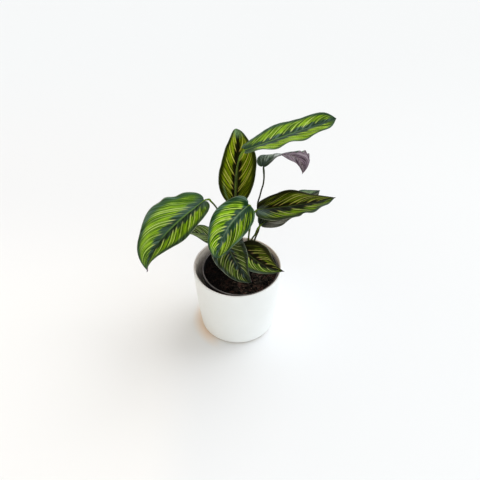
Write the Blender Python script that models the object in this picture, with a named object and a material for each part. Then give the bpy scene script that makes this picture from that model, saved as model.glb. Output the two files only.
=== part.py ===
"""A pinstripe calathea: ten leaves in potting soil, in a plastic grow pot inside a ceramic cover pot.

The origin is the middle of the cover pot's base, +Z is up and the front of the plant faces -Y.
Lengths below are in millimetres and angles in degrees, and become metres when a mesh is made.
"""
import bmesh
import bpy
import math
import numpy as np

MM = 0.001
GAP = 0.3

# Cover pot: a tapered ceramic wall with a rounded lower edge.
COVER_HEIGHT = 117.0
COVER_RIM_RADIUS = 67.5
COVER_BASE_RADIUS = 56.0
COVER_BULGE = 1.5
COVER_EDGE_ROUND = 10.0
COVER_LIP = 3.0
COVER_LIP_ROUND = 1.5
COVER_WALL_MIDDLE = 3.8
COVER_WALL_LOW = 4.4
COVER_FLOOR = 6.0
COVER_INNER_ROUND = 8.0
COVER_SEGMENTS = 48

# Grow pot: a thin plastic pot that stands a little off centre on the cover pot's floor.
GROW_CENTRE = (4.5, 0.5)
GROW_RIM_RADIUS = 58.5
GROW_RIM_DROP = 6.0
GROW_COLLAR = 9.0
GROW_COLLAR_STEP = 1.6
GROW_BASE_RADIUS = 40.0
GROW_WALL = 1.2
GROW_FLOOR = 1.4
GROW_FLOOR_RAISE = 1.5
GROW_FOOT_WIDTH = 5.5
GROW_SEGMENTS = 40
DRAIN_HOLES = 6
DRAIN_RADIUS = 4.0
DRAIN_CIRCLE = 25.0
DRAIN_TOOL = 12.0

# Potting soil: fills the grow pot to about 10 mm below its rim.
SOIL_DROP = 9.5
SOIL_LUMP = 0.8
SOIL_RINGS = (0.0, 11.0, 22.0, 33.0, 43.0, 51.0)
SOIL_SEGMENTS = 32
SOIL_FOOT = 12.0
SOIL_SIDES = (60.0, 97.0)
HOLE_TOOL = 60.0

# Leaves: the blade's grid and thickness, and the stalk's girth.
BLADE_ROWS = 20
BLADE_COLUMNS = 8
BLADE_THICKNESS = 0.8
RIB_THICKNESS = 1.9
BLADE_START = 0.006
BLADE_END = 0.992
LOBE_LENGTH = 0.35
LOBE_BACK = 0.35
STALK_RADIUS = 1.2
SHEATH_RADIUS = 2.2
SHEATH_HEIGHT = 40.0
RIB_END_RADIUS = 0.75
STALK_DEPTH = 27.0
HOLE_CLEARANCE = 0.6
KNEE_LENGTH = 7.0
KNEE_LEAN = 0.5
KNEE_STEP = 2.2
KNEE_STEP_MOST = 17.0

# Each leaf starts where its stalk meets the blade. The midrib leaves there at "heading" (0 is +X,
# counter-clockwise) and "rise" above level, sinks by "droop" evenly and "hook" mostly near the
# tip, and turns by "swing". "roll" lifts the left half, "twist" adds to it towards the tip. The
# pairs are for the right and left half: greatest width, height of the margin's waves, how many
# there are and where they start. "fold" raises both halves like an open book and "curl" adds to it
# towards the margin. "fullest" is where the blade is widest, "shoulder" how round its base is and
# "drip" the share of the length over which it narrows to a fine tip. "root" is where the stalk
# leaves the soil, "via" are points that the stalk passes on its way up and "lean" is how far it
# bows at the knee under the blade.
LEAVES = {
    "leaf_left": dict(
        tone="leaf_bright", base=(-47, 6, 241), length=146, heading=-140, rise=-12, droop=45,
        hook=34, swing=-21, roll=25, twist=-25, width=(39, 42), fold=25, curl=11,
        wave=(3.8, 5.0), waves=(1.9, 1.8), phase=(0.48, 0.99), fullest=0.44, shoulder=0.62,
        drip=0.011, root=(3, 5),
        via=((-10, 8, 150), (-23, 8, 200), (-31, 6, 228), (-39, 6, 240))),
    "leaf_upright": dict(
        tone="leaf_olive", base=(-3, 43, 204), length=114, heading=73, rise=73, droop=19,
        hook=14, swing=28, roll=4, twist=-33, width=(28, 31), fold=20, curl=2, wave=(3.5, 1.6),
        waves=(2.2, 3.4), phase=(0.85, 0.34), fullest=0.46, shoulder=0.54, drip=0.008,
        root=(9, 19), via=((4, 30, 155),)),
    "leaf_top": dict(
        tone="leaf_bright", base=(10, 13, 324), length=134, heading=15, rise=12, droop=-11,
        hook=9, swing=-7, roll=17, twist=-18, width=(33, 31), fold=12, curl=-10,
        wave=(2.6, 2.4), waves=(3.1, 1.7), phase=(0.82, 0.63), fullest=0.44, shoulder=0.35,
        drip=0.033, root=(5, 12),
        via=((-1, 14, 180), (-3, 14, 241), (-2, 14, 281), (1, 13, 302))),
    "leaf_right": dict(
        tone="leaf_olive", base=(29, 11, 219), length=119, heading=-6, rise=12, droop=19,
        hook=-6, swing=30, roll=-3, twist=6, width=(33, 29), fold=13, curl=-8, wave=(1.9, 3.4),
        waves=(1.5, 1.5), phase=(0.45, 0.55), fullest=0.34, shoulder=0.5, drip=0.038,
        root=(11, 12), via=((16, 13, 158), (20, 14, 190))),
    "leaf_centre": dict(
        tone="leaf_bright", base=(17, 2, 235), length=97, heading=-134, rise=-2, droop=56,
        hook=17, swing=12, roll=37, twist=-28, width=(29, 27), fold=17, curl=-4,
        wave=(5.0, 3.2), waves=(2.3, 2.2), phase=(0.22, 0.53), fullest=0.39, shoulder=0.51,
        drip=0.008, root=(11, 4), via=((16, 7, 158), (18, 8, 200))),
    "leaf_low_centre": dict(
        tone="leaf_dark", base=(-18, -2, 170), length=82, heading=-70, rise=-14, droop=5,
        hook=-13, swing=18, roll=-28, twist=-43, width=(28, 30), fold=15, curl=-7,
        wave=(3.2, 3.2), waves=(1.7, 1.6), phase=(0.95, 0.8), fullest=0.3, shoulder=0.37,
        drip=0.014, root=(-1, 0), via=((-8, -1, 140),)),
    "leaf_low_right": dict(
        tone="leaf_olive", base=(4, -5, 162), length=78, heading=-40, rise=-32, droop=-15,
        hook=-17, swing=35, roll=-22, twist=22, width=(25, 27), fold=14, curl=-6,
        wave=(1.6, 3.2), waves=(1.9, 1.5), phase=(0.33, 0.4), fullest=0.34, shoulder=0.64,
        drip=0.015, root=(7, -3), via=((7, -4, 138),)),
    "leaf_low_left": dict(
        tone="leaf_muted", base=(-7, 26, 144), length=89, heading=172, rise=9, droop=6, hook=2,
        swing=-8, roll=-2, twist=-19, width=(23, 23), fold=13, curl=-8, wave=(3.2, 3.2),
        waves=(1.9, 1.5), phase=(0.03, 0.24), fullest=0.39, shoulder=0.52, drip=0.015,
        root=(1, 18), via=((-2, 22, 128),)),
    "leaf_curled": dict(
        tone="leaf_curled", base=(37.5, 36, 278), length=107, heading=52, rise=19, droop=83,
        hook=41, swing=-44, roll=22, twist=38, width=(27, 30), fold=13, curl=-8,
        wave=(4.8, 1.9), waves=(1.5, 2.8), phase=(0.1, 0.79), fullest=0.35, shoulder=0.62,
        drip=0.03, root=(17, 15),
        via=((26, 17, 155), (33, 23, 176), (30, 29, 200), (30, 32, 214), (33, 33, 227),
             (35, 34, 237), (37.5, 35, 247), (38.5, 36, 259)), lean=0.0),
    "leaf_right_behind": dict(
        tone="leaf_dark", base=(34, 2, 197), length=108, heading=30, rise=18, droop=11, hook=4,
        swing=3, roll=1, twist=4, width=(26, 27), fold=10, curl=-14, wave=(3.2, 3.2),
        waves=(3.0, 2.9), phase=(0.19, 0.92), fullest=0.41, shoulder=0.58, drip=0.024,
        root=(17, 6), via=((21, 8, 162), (26, 7, 174))),
}

# Colour (linear), roughness and metallic value of each material.
LOOKS = {
    "glazed_white": ((0.83, 0.82, 0.80), 0.32, 0.0),
    "nursery_plastic": ((0.025, 0.025, 0.027), 0.48, 0.0),
    "potting_mix": ((0.018, 0.012, 0.009), 0.95, 0.0),
    "leaf_bright": ((0.13, 0.27, 0.045), 0.42, 0.0),
    "leaf_olive": ((0.085, 0.13, 0.022), 0.44, 0.0),
    "leaf_dark": ((0.055, 0.10, 0.045), 0.46, 0.0),
    "leaf_muted": ((0.09, 0.14, 0.06), 0.5, 0.0),
    "leaf_curled": ((0.16, 0.10, 0.14), 0.5, 0.0),
}

GROW_BOTTOM = COVER_FLOOR + GAP
GROW_TOP = COVER_HEIGHT - GROW_RIM_DROP
SOIL_TOP = GROW_TOP - SOIL_DROP


def clear_scene():
    """Remove every object of the scene."""
    for old in list(bpy.data.objects):
        bpy.data.objects.remove(old, do_unlink=True)


def material(name):
    """A Principled material of one of the looks."""
    if name in bpy.data.materials:
        return bpy.data.materials[name]
    made = bpy.data.materials.new(name)
    made.use_nodes = True
    colour, roughness, metallic = LOOKS[name]
    shader = made.node_tree.nodes["Principled BSDF"]
    shader.inputs["Base Color"].default_value = (*colour, 1.0)
    shader.inputs["Roughness"].default_value = roughness
    shader.inputs["Metallic"].default_value = metallic
    made.diffuse_color = (*colour, 1.0)
    return made


def add_object(name, mesh, look=None, collection=None):
    """Link a mesh as an object of the scene, or of a collection of helpers."""
    made = bpy.data.objects.new(name, mesh)
    if look:
        mesh.materials.clear()
        mesh.materials.append(material(look))
    (collection or bpy.context.scene.collection).objects.link(made)
    return made


def combine(target, operation, helpers, solver="EXACT"):
    """Apply one Boolean with a collection of helpers, then remove the helpers."""
    tool = target.modifiers.new(operation.title(), "BOOLEAN")
    tool.operation = operation
    tool.operand_type = "COLLECTION"
    tool.collection = helpers
    tool.solver = solver
    bpy.context.view_layer.update()
    evaluated = target.evaluated_get(bpy.context.evaluated_depsgraph_get())
    result = bpy.data.meshes.new_from_object(evaluated)
    target.modifiers.remove(tool)
    old = target.data
    result.name = old.name
    target.data = result
    bpy.data.meshes.remove(old)
    for helper in list(helpers.objects):
        bpy.data.objects.remove(helper, do_unlink=True)
    bpy.data.collections.remove(helpers)


def helper_collection(name):
    """A collection for cutters or for shapes that are about to be joined."""
    made = bpy.data.collections.new(name)
    bpy.context.scene.collection.children.link(made)
    return made


def turned(name, profile, segments, centre=(0.0, 0.0)):
    """Turn a profile of (radius, height) pairs, which starts and ends on the axis, once round."""
    shape = bmesh.new()
    points = [shape.verts.new((radius * MM, 0.0, height * MM)) for radius, height in profile]
    edges = [shape.edges.new(pair) for pair in zip(points[:-1], points[1:])]
    bmesh.ops.spin(
        shape, geom=points + edges, cent=(0, 0, 0), axis=(0, 0, 1), angle=2 * math.pi,
        steps=segments, use_merge=True)
    bmesh.ops.remove_doubles(shape, verts=shape.verts, dist=1e-6)
    bmesh.ops.recalc_face_normals(shape, faces=shape.faces)
    bmesh.ops.translate(shape, verts=shape.verts, vec=(centre[0] * MM, centre[1] * MM, 0))
    mesh = bpy.data.meshes.new(name)
    shape.to_mesh(mesh)
    shape.free()
    return mesh


def cover_radius(height):
    """Outer radius of the cover pot's wall, above its rounded lower edge."""
    share = height / COVER_HEIGHT
    straight = COVER_BASE_RADIUS + (COVER_RIM_RADIUS - COVER_BASE_RADIUS) * share
    return straight + 4 * COVER_BULGE * share * (1 - share)


def build_cover_pot():
    """The ceramic pot: rounded foot, tapered wall, rounded lip and a plain floor."""
    foot_height = 0.9 * COVER_EDGE_ROUND
    foot_radius = cover_radius(foot_height)
    profile = [(0.0, 0.0)]
    for step in range(6):
        turn = step / 5 * math.pi / 2
        profile.append((
            foot_radius - COVER_EDGE_ROUND * (1 - math.sin(turn)),
            foot_height * (1 - math.cos(turn))))
    lip_height = COVER_HEIGHT - COVER_LIP_ROUND
    for share in (0.3, 0.53, 0.77):
        profile.append((cover_radius(share * COVER_HEIGHT), share * COVER_HEIGHT))
    profile.append((cover_radius(lip_height), lip_height))
    for turn in (50, 90, 130):
        profile.append((
            COVER_RIM_RADIUS - COVER_LIP / 2 * (1 - math.cos(math.radians(turn))),
            lip_height + COVER_LIP_ROUND * math.sin(math.radians(turn))))
    profile.append((cover_radius(lip_height) - COVER_LIP, lip_height))
    middle = COVER_HEIGHT / 2
    profile.append((cover_radius(middle) - COVER_WALL_MIDDLE, middle))
    inner = cover_radius(COVER_FLOOR + COVER_INNER_ROUND) - COVER_WALL_LOW
    for step in range(4):
        turn = step / 3 * math.pi / 2
        profile.append((
            inner - COVER_INNER_ROUND * (1 - math.cos(turn)),
            COVER_FLOOR + COVER_INNER_ROUND * (1 - math.sin(turn))))
    profile.append((0.0, COVER_FLOOR))
    mesh = turned("cover_pot", profile, COVER_SEGMENTS)
    mesh.shade_smooth()
    mesh.set_sharp_from_angle(angle=math.radians(40))
    add_object("cover_pot", mesh, "glazed_white")


def grow_wall(height):
    """Outer radius of the grow pot's tapered wall, below its collar."""
    share = (height - GROW_BOTTOM) / (GROW_TOP - GROW_COLLAR - GROW_BOTTOM)
    top = GROW_RIM_RADIUS - GROW_COLLAR_STEP
    return GROW_BASE_RADIUS + (top - GROW_BASE_RADIUS) * share


def build_grow_pot():
    """The plastic pot: a tapered wall, a stepped collar at the rim and holes in its floor."""
    collar = GROW_TOP - GROW_COLLAR
    foot = GROW_BASE_RADIUS - 1.5
    raised = GROW_BOTTOM + GROW_FLOOR_RAISE
    floor = raised + GROW_FLOOR
    profile = [
        (0.0, raised),
        (foot - GROW_FOOT_WIDTH - 2.0, raised),
        (foot - GROW_FOOT_WIDTH, GROW_BOTTOM),
        (foot, GROW_BOTTOM),
        (grow_wall(raised), raised),
        (grow_wall(collar), collar),
        (GROW_RIM_RADIUS - 0.3, collar + 0.6),
        (GROW_RIM_RADIUS, GROW_TOP - 0.8),
        (GROW_RIM_RADIUS - 0.5, GROW_TOP),
        (GROW_RIM_RADIUS - 1.4, GROW_TOP),
        (GROW_RIM_RADIUS - 1.9, GROW_TOP - 0.8),
        (GROW_RIM_RADIUS - 2.2, collar + 1.2),
        (grow_wall(collar) - GROW_WALL, collar - 0.6),
        (grow_wall(floor) - GROW_WALL, floor + 0.6),
        (grow_wall(floor) - GROW_WALL - 2.0, floor),
        (0.0, floor),
    ]
    pot = add_object(
        "grow_pot", turned("grow_pot", profile, GROW_SEGMENTS, GROW_CENTRE), "nursery_plastic")
    cutters = helper_collection("drain_holes")
    for hole in range(DRAIN_HOLES + 1):
        turn = 2 * math.pi * hole / DRAIN_HOLES
        circle = DRAIN_CIRCLE if hole < DRAIN_HOLES else 0.0
        shape = bmesh.new()
        bmesh.ops.create_cone(
            shape, cap_ends=True, segments=12, radius1=DRAIN_RADIUS * MM,
            radius2=DRAIN_RADIUS * MM, depth=DRAIN_TOOL * MM)
        bmesh.ops.translate(shape, verts=shape.verts, vec=(
            (GROW_CENTRE[0] + circle * math.cos(turn)) * MM,
            (GROW_CENTRE[1] + circle * math.sin(turn)) * MM, GROW_BOTTOM * MM))
        mesh = bpy.data.meshes.new("drain_hole")
        shape.to_mesh(mesh)
        shape.free()
        add_object("drain_hole", mesh, collection=cutters)
    combine(pot, "DIFFERENCE", cutters)
    pot.data.shade_smooth()
    pot.data.set_sharp_from_angle(angle=math.radians(35))


def soil_height(x, y):
    """Height of the uneven soil surface, x and y from the grow pot's axis."""
    lumps = math.sin(0.21 * x + 0.6) * math.cos(0.17 * y - 0.4)
    lumps += 0.6 * math.sin(0.37 * x - 0.31 * y + 2.1) + 0.4 * math.cos(0.45 * y + 0.26 * x)
    return SOIL_TOP + SOIL_LUMP * lumps


def build_soil():
    """The root ball: it follows the grow pot's inside and has a plain hole for each stalk."""
    bottom = GROW_BOTTOM + GROW_FLOOR_RAISE + GROW_FLOOR + GAP
    clear = GROW_WALL + GAP + 0.2
    profile = [(0.0, bottom), (grow_wall(bottom) - clear - 2.0, bottom)]
    for height in (SOIL_FOOT,) + SOIL_SIDES:
        profile.append((grow_wall(height) - clear, height))
    profile += [(radius, SOIL_TOP) for radius in reversed(SOIL_RINGS)]
    mesh = turned("potting_soil", profile, SOIL_SEGMENTS)
    for vertex in mesh.vertices:
        if vertex.co.z > (SOIL_TOP - 0.01) * MM:
            vertex.co.z = soil_height(vertex.co.x / MM, vertex.co.y / MM) * MM
        vertex.co.x += GROW_CENTRE[0] * MM
        vertex.co.y += GROW_CENTRE[1] * MM
    soil = add_object("potting_soil", mesh, "potting_mix")
    cutters = helper_collection("stalk_holes")
    for leaf in LEAVES.values():
        shape = bmesh.new()
        bmesh.ops.create_cone(
            shape, cap_ends=True, segments=12, radius1=(SHEATH_RADIUS + HOLE_CLEARANCE) * MM,
            radius2=(SHEATH_RADIUS + HOLE_CLEARANCE) * MM, depth=HOLE_TOOL * MM)
        foot = SOIL_TOP - STALK_DEPTH - GAP
        bmesh.ops.translate(shape, verts=shape.verts, vec=(
            leaf["root"][0] * MM, leaf["root"][1] * MM, (foot + HOLE_TOOL / 2) * MM))
        mesh = bpy.data.meshes.new("stalk_hole")
        shape.to_mesh(mesh)
        shape.free()
        add_object("stalk_hole", mesh, collection=cutters)
    combine(soil, "DIFFERENCE", cutters)


def outline(share, fullest, shoulder, drip):
    """Width of a blade as a share of its greatest width, at a share of its length."""
    taper = shoulder * (1 - fullest) / fullest
    peak = fullest ** shoulder * (1 - fullest) ** taper
    tip = 1 - np.exp(-(1 - share) / drip)
    return share ** shoulder * (1 - share) ** taper * tip / peak


def midrib(leaf, shares):
    """Points of the midrib with its direction, the way to the right and the way up."""
    fine = np.linspace(0.0, 1.0, 401)
    middle = (fine[:-1] + fine[1:]) / 2

    def direction(share):
        pitch = np.radians(leaf["rise"] - leaf["droop"] * share - leaf["hook"] * share ** 3)
        turn = np.radians(leaf["heading"] + leaf["swing"] * share)
        along = np.stack(
            [np.cos(pitch) * np.cos(turn), np.cos(pitch) * np.sin(turn), np.sin(pitch)], -1)
        level = np.stack([np.sin(turn), -np.cos(turn), np.zeros_like(turn)], -1)
        return along, level

    steps = direction(middle)[0] * leaf["length"] / 400
    path = np.concatenate([np.zeros((1, 3)), np.cumsum(steps, axis=0)]) + np.array(leaf["base"])
    points = np.stack([np.interp(shares, fine, path[:, axis]) for axis in range(3)], -1)
    along, level = direction(shares)
    upright = np.cross(level, along)
    roll = np.radians(leaf["roll"] + leaf["twist"] * shares)[:, None]
    right = level * np.cos(roll) + upright * np.sin(roll)
    above = upright * np.cos(roll) - level * np.sin(roll)
    return points, along, right, above


def blade_points(leaf, shares, across):
    """Points of the blade's middle surface, one row for each share of its length."""
    points, along, right, above = midrib(leaf, shares)
    width = outline(shares, leaf["fullest"], leaf["shoulder"], leaf["drip"])
    grid = np.zeros((len(shares), len(across), 3))
    for column, side in enumerate(across):
        half_index = 0 if side > 0 else 1
        out = abs(side)
        half = leaf["width"][half_index] * width
        fold = math.radians(leaf["fold"] + leaf["curl"] * out / 2)
        turn = 2 * math.pi * (leaf["waves"][half_index] * shares + leaf["phase"][half_index])
        wave = leaf["wave"][half_index] * np.sin(turn) * out ** 2 * width
        lift = half * out * math.sin(fold) + wave
        back = LOBE_BACK * half * out ** 2 * np.clip(1 - shares / LOBE_LENGTH, 0, 1) ** 2
        offset = math.copysign(1.0, side) * (half * out * math.cos(fold))
        grid[:, column] = (
            points + offset[:, None] * right + lift[:, None] * above - back[:, None] * along)
    return grid


def build_blade(name, leaf):
    """The blade: one grid, split alike on both faces, thickest along the midrib."""
    even = np.linspace(0.0, 1.0, BLADE_ROWS + 1)
    eased = 0.5 - 0.5 * np.cos(math.pi * even)
    shares = BLADE_START + (BLADE_END - BLADE_START) * (0.4 * even + 0.6 * eased)
    half_steps = BLADE_COLUMNS // 2
    steps = np.arange(-half_steps, half_steps + 1) / half_steps
    across = np.sign(steps) * np.abs(steps) ** 0.9
    grid = blade_points(leaf, shares, across)
    by_row = np.gradient(grid, axis=0)
    by_column = np.gradient(grid, axis=1)
    normal = np.cross(by_column, by_row)
    normal /= np.linalg.norm(normal, axis=2, keepdims=True)
    top = grid + normal * BLADE_THICKNESS / 2
    below = np.full(grid.shape[:2], BLADE_THICKNESS / 2)
    below[:, half_steps] += (RIB_THICKNESS - BLADE_THICKNESS) * (1 - shares) ** 0.7
    bottom = grid - normal * below[..., None]
    shape = bmesh.new()
    upper = [[shape.verts.new(point * MM) for point in row] for row in top]
    lower = [[shape.verts.new(point * MM) for point in row] for row in bottom]
    rows, columns = len(shares), len(across)
    for i in range(rows - 1):
        for j in range(columns - 1):
            flip = j >= half_steps
            for face, turned_over in ((upper, False), (lower, True)):
                a, b = face[i][j], face[i][j + 1]
                c, d = face[i + 1][j + 1], face[i + 1][j]
                pair = ((a, b, d), (b, c, d)) if flip else ((a, b, c), (a, c, d))
                for corners in pair:
                    shape.faces.new(corners if not turned_over else corners[::-1])
    rim = [(i, 0) for i in range(rows)] + [(rows - 1, j) for j in range(1, columns)]
    rim += [(i, columns - 1) for i in range(rows - 2, -1, -1)]
    rim += [(0, j) for j in range(columns - 2, 0, -1)]
    for (i, j), (k, m) in zip(rim, rim[1:] + rim[:1]):
        shape.faces.new((upper[i][j], upper[k][m], lower[k][m]))
        shape.faces.new((upper[i][j], lower[k][m], lower[i][j]))
    bmesh.ops.recalc_face_normals(shape, faces=shape.faces)
    mesh = bpy.data.meshes.new(name)
    shape.to_mesh(mesh)
    shape.free()
    return mesh


def smooth_path(points, samples=24):
    """A dense smooth line through the points (a centripetal Catmull-Rom spline)."""
    points = [np.array(point, float) for point in points]
    points = [2 * points[0] - points[1]] + points + [2 * points[-1] - points[-2]]
    line = []
    for p0, p1, p2, p3 in zip(points, points[1:], points[2:], points[3:]):
        t0 = 0.0
        t1 = t0 + math.sqrt(np.linalg.norm(p1 - p0))
        t2 = t1 + math.sqrt(np.linalg.norm(p2 - p1))
        t3 = t2 + math.sqrt(np.linalg.norm(p3 - p2))
        for t in np.linspace(t1, t2, samples, endpoint=False):
            a1 = (t1 - t) / (t1 - t0) * p0 + (t - t0) / (t1 - t0) * p1
            a2 = (t2 - t) / (t2 - t1) * p1 + (t - t1) / (t2 - t1) * p2
            a3 = (t3 - t) / (t3 - t2) * p2 + (t - t2) / (t3 - t2) * p3
            b1 = (t2 - t) / (t2 - t0) * a1 + (t - t0) / (t2 - t0) * a2
            b2 = (t3 - t) / (t3 - t1) * a2 + (t - t1) / (t3 - t1) * a3
            line.append((t2 - t) / (t2 - t1) * b1 + (t - t1) / (t2 - t1) * b2)
    line.append(points[-2])
    return np.array(line)


def stalk_path(leaf):
    """The way of the stalk: straight in the soil, through its points, then under the midrib."""
    x, y = leaf["root"]
    under, along, _, above = midrib(leaf, np.array([0.0, 0.035, 0.075]))
    base = under[0] - 0.5 * above[0]
    arrival = base - np.array(leaf["via"][-1])
    arrival /= np.linalg.norm(arrival)
    knee = arrival + leaf.get("lean", KNEE_LEAN) * along[0]
    knee = base - KNEE_LENGTH * knee / np.linalg.norm(knee)
    points = [(x, y, SOIL_TOP - STALK_DEPTH), (x, y, SOIL_TOP - 4), (x, y, SOIL_TOP + 5)]
    points += list(leaf["via"])
    points += [knee, base, under[1] - 0.6 * above[1], under[2] - 0.6 * above[2]]
    return smooth_path(points)


def build_stalk(name, leaf, collection):
    """The stalk: a round bar, stout and sheathed near the soil, that ends in the midrib."""
    line = stalk_path(leaf)
    travelled = np.concatenate([[0.0], np.cumsum(np.linalg.norm(np.diff(line, axis=0), axis=1))])
    total = travelled[-1]
    stops = [total]
    while stops[-1] > 0.0:
        done = total - stops[-1]
        step = min(KNEE_STEP_MOST, KNEE_STEP + 0.3 * max(0.0, done - 10.0))
        stops.append(max(0.0, stops[-1] - step))
    if stops[-2] < 3.0:
        stops.pop(-2)
    stops = stops[::-1]
    knee = total - 0.075 * leaf["length"]
    curve = bpy.data.curves.new(name + "_stalk", "CURVE")
    curve.dimensions = "3D"
    curve.bevel_depth = MM
    curve.bevel_resolution = 2
    curve.use_fill_caps = True
    spline = curve.splines.new("POLY")
    spline.points.add(len(stops) - 1)
    for point, stop in zip(spline.points, stops):
        place = [np.interp(stop, travelled, line[:, axis]) * MM for axis in range(3)]
        sheath = max(0.0, min(1.0, 1 - (stop - STALK_DEPTH) / SHEATH_HEIGHT))
        radius = STALK_RADIUS + (SHEATH_RADIUS - STALK_RADIUS) * sheath
        if stop > knee:
            radius += (RIB_END_RADIUS - STALK_RADIUS) * (stop - knee) / (total - knee)
        point.co = (*place, 1.0)
        point.radius = radius
    bar = bpy.data.objects.new(name + "_stalk", curve)
    collection.objects.link(bar)
    bpy.context.view_layer.update()
    evaluated = bar.evaluated_get(bpy.context.evaluated_depsgraph_get())
    mesh = bpy.data.meshes.new_from_object(evaluated)
    bpy.data.objects.remove(bar, do_unlink=True)
    add_object(name + "_stalk", mesh, collection=collection)


def build_leaf(name, leaf):
    """One leaf: blade and stalk joined into one solid."""
    made = add_object(name, build_blade(name, leaf), leaf["tone"])
    parts = helper_collection(name + "_parts")
    build_stalk(name, leaf, parts)
    combine(made, "UNION", parts)
    made.data.shade_smooth()
    made.data.set_sharp_from_angle(angle=math.radians(50))


def build():
    """Build the whole plant in its pots."""
    clear_scene()
    build_cover_pot()
    build_grow_pot()
    build_soil()
    for name, leaf in LEAVES.items():
        build_leaf(name, leaf)


build()
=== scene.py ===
"""A pinstripe calathea in its pots, dressed for a picture.

The frame holds the plain solids. The pieces built here stand for them: ten leaves, each a blade
on its stalk, the soil with crumbs and fibres, the grow pot and the cover pot. The panel in the 3D
view's sidebar lists the pieces and the sizes that they share. Each leaf's own sizes and colours
are settings of the scene.
"""
import math

import bmesh
import bpy
import numpy as np
from bpy.props import (
    BoolProperty, CollectionProperty, FloatProperty, FloatVectorProperty, IntProperty,
    PointerProperty, StringProperty)
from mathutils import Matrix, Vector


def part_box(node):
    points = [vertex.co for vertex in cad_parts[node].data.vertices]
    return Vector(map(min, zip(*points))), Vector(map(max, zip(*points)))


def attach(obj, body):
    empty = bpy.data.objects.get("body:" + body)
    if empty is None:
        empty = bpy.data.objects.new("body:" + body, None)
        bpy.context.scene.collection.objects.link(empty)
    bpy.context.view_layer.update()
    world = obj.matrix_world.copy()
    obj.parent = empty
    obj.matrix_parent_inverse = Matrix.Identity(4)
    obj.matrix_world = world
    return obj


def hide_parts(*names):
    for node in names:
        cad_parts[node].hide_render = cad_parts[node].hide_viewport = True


bl_info = {
    "name": "Pinstripe calathea",
    "version": (1, 0, 0),
    "blender": (4, 5, 0),
    "location": "3D View > Sidebar > Calathea",
    "description": "Builds a potted pinstripe calathea leaf by leaf, with its pots and soil",
    "category": "Add Mesh",
}

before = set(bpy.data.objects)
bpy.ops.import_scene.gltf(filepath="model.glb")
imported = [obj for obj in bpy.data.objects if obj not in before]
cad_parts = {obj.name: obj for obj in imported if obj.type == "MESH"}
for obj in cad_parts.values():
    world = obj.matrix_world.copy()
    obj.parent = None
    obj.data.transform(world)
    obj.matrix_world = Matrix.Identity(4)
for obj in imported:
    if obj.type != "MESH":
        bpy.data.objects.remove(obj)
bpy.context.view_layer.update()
MM = 0.001

# Sizes in millimetres and angles in degrees. The main ones are as in the solids that these pieces
# stand for. SIDES say how many sides a round form has, and edges over SHARP_ANGLE stay sharp.
COVER_HEIGHT = 117.0
COVER_RIM_RADIUS = 67.5
COVER_BASE_RADIUS = 56.0
COVER_BULGE = 1.5
COVER_EDGE_REACH = 10.0
COVER_EDGE_HEIGHT = 9.0
COVER_LIP = 3.0
COVER_LIP_ROUND = 1.5
COVER_WALL_LOW = 4.4
COVER_FLOOR = 6.0
COVER_INNER_ROUND = 8.0
COVER_SIDES = 160
GROW_CENTRE = (4.5, 0.5)
GROW_BOTTOM = 6.3
GROW_TOP = 111.0
GROW_RIM_RADIUS = 58.5
GROW_BASE_RADIUS = 40.0
GROW_COLLAR = 9.0
GROW_COLLAR_STEP = 1.6
GROW_COLLAR_RAMP = 0.6
GROW_COLLAR_DRAFT = 0.3
GROW_COLLAR_WALL = 1.9
GROW_WALL = 1.2
GROW_FLOOR = 1.4
GROW_FLOOR_RAISE = 1.5
GROW_FOOT_RADII = (31.0, 33.0, 38.5)
GROW_SIDES = 144
PLAIN_SIDES = 48
SHARP_ANGLE = 38
DRAIN_HOLES = 6
DRAIN_RADIUS = 4.0
DRAIN_CIRCLE = 25.0
DRAIN_TOOL = 12.0
DRAIN_SIDES = 32
SOIL_TOP = 101.5
SOIL_RADIUS = 54.5
SOIL_FOOT_RADIUS = 37.5
STALK_DEPTH = 27.0
STALK_STRAIGHT = (-4.0, 5.0)
STALK_SINK = 0.5
KNEE_LENGTH = 7.0
KNEE_LEAN = 0.5
KNEE_REACH = 6.0
KNEE_SWELL = 0.25
SHEATH_HEIGHT = 70.0
RIB_SHARES = (0.035, 0.075)
RIB_END_RADIUS = 0.75
RIB_SINK = 0.6

# The camera that gives the photo's view, the soft key light and the tints of the room's light.
CAMERA_PLACE = (0.0037, -0.9691, 1.0359)
CAMERA_PITCH = 48.2
CAMERA_LENS = 65.55
CAMERA_SENSOR = 36.0
SUN_TURN = (-24, 38)
SUN_SPREAD = 55
SUN_COLOUR = (0.99, 0.995, 1.0)
SKY_LEFT = (0.65, 0.56, 0.425)
SKY_RIGHT = (0.987, 1.01, 1.05)
SKY_LOW = (1.03, 1.035, 1.03)
FLOOR_HALF = 60.0

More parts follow.
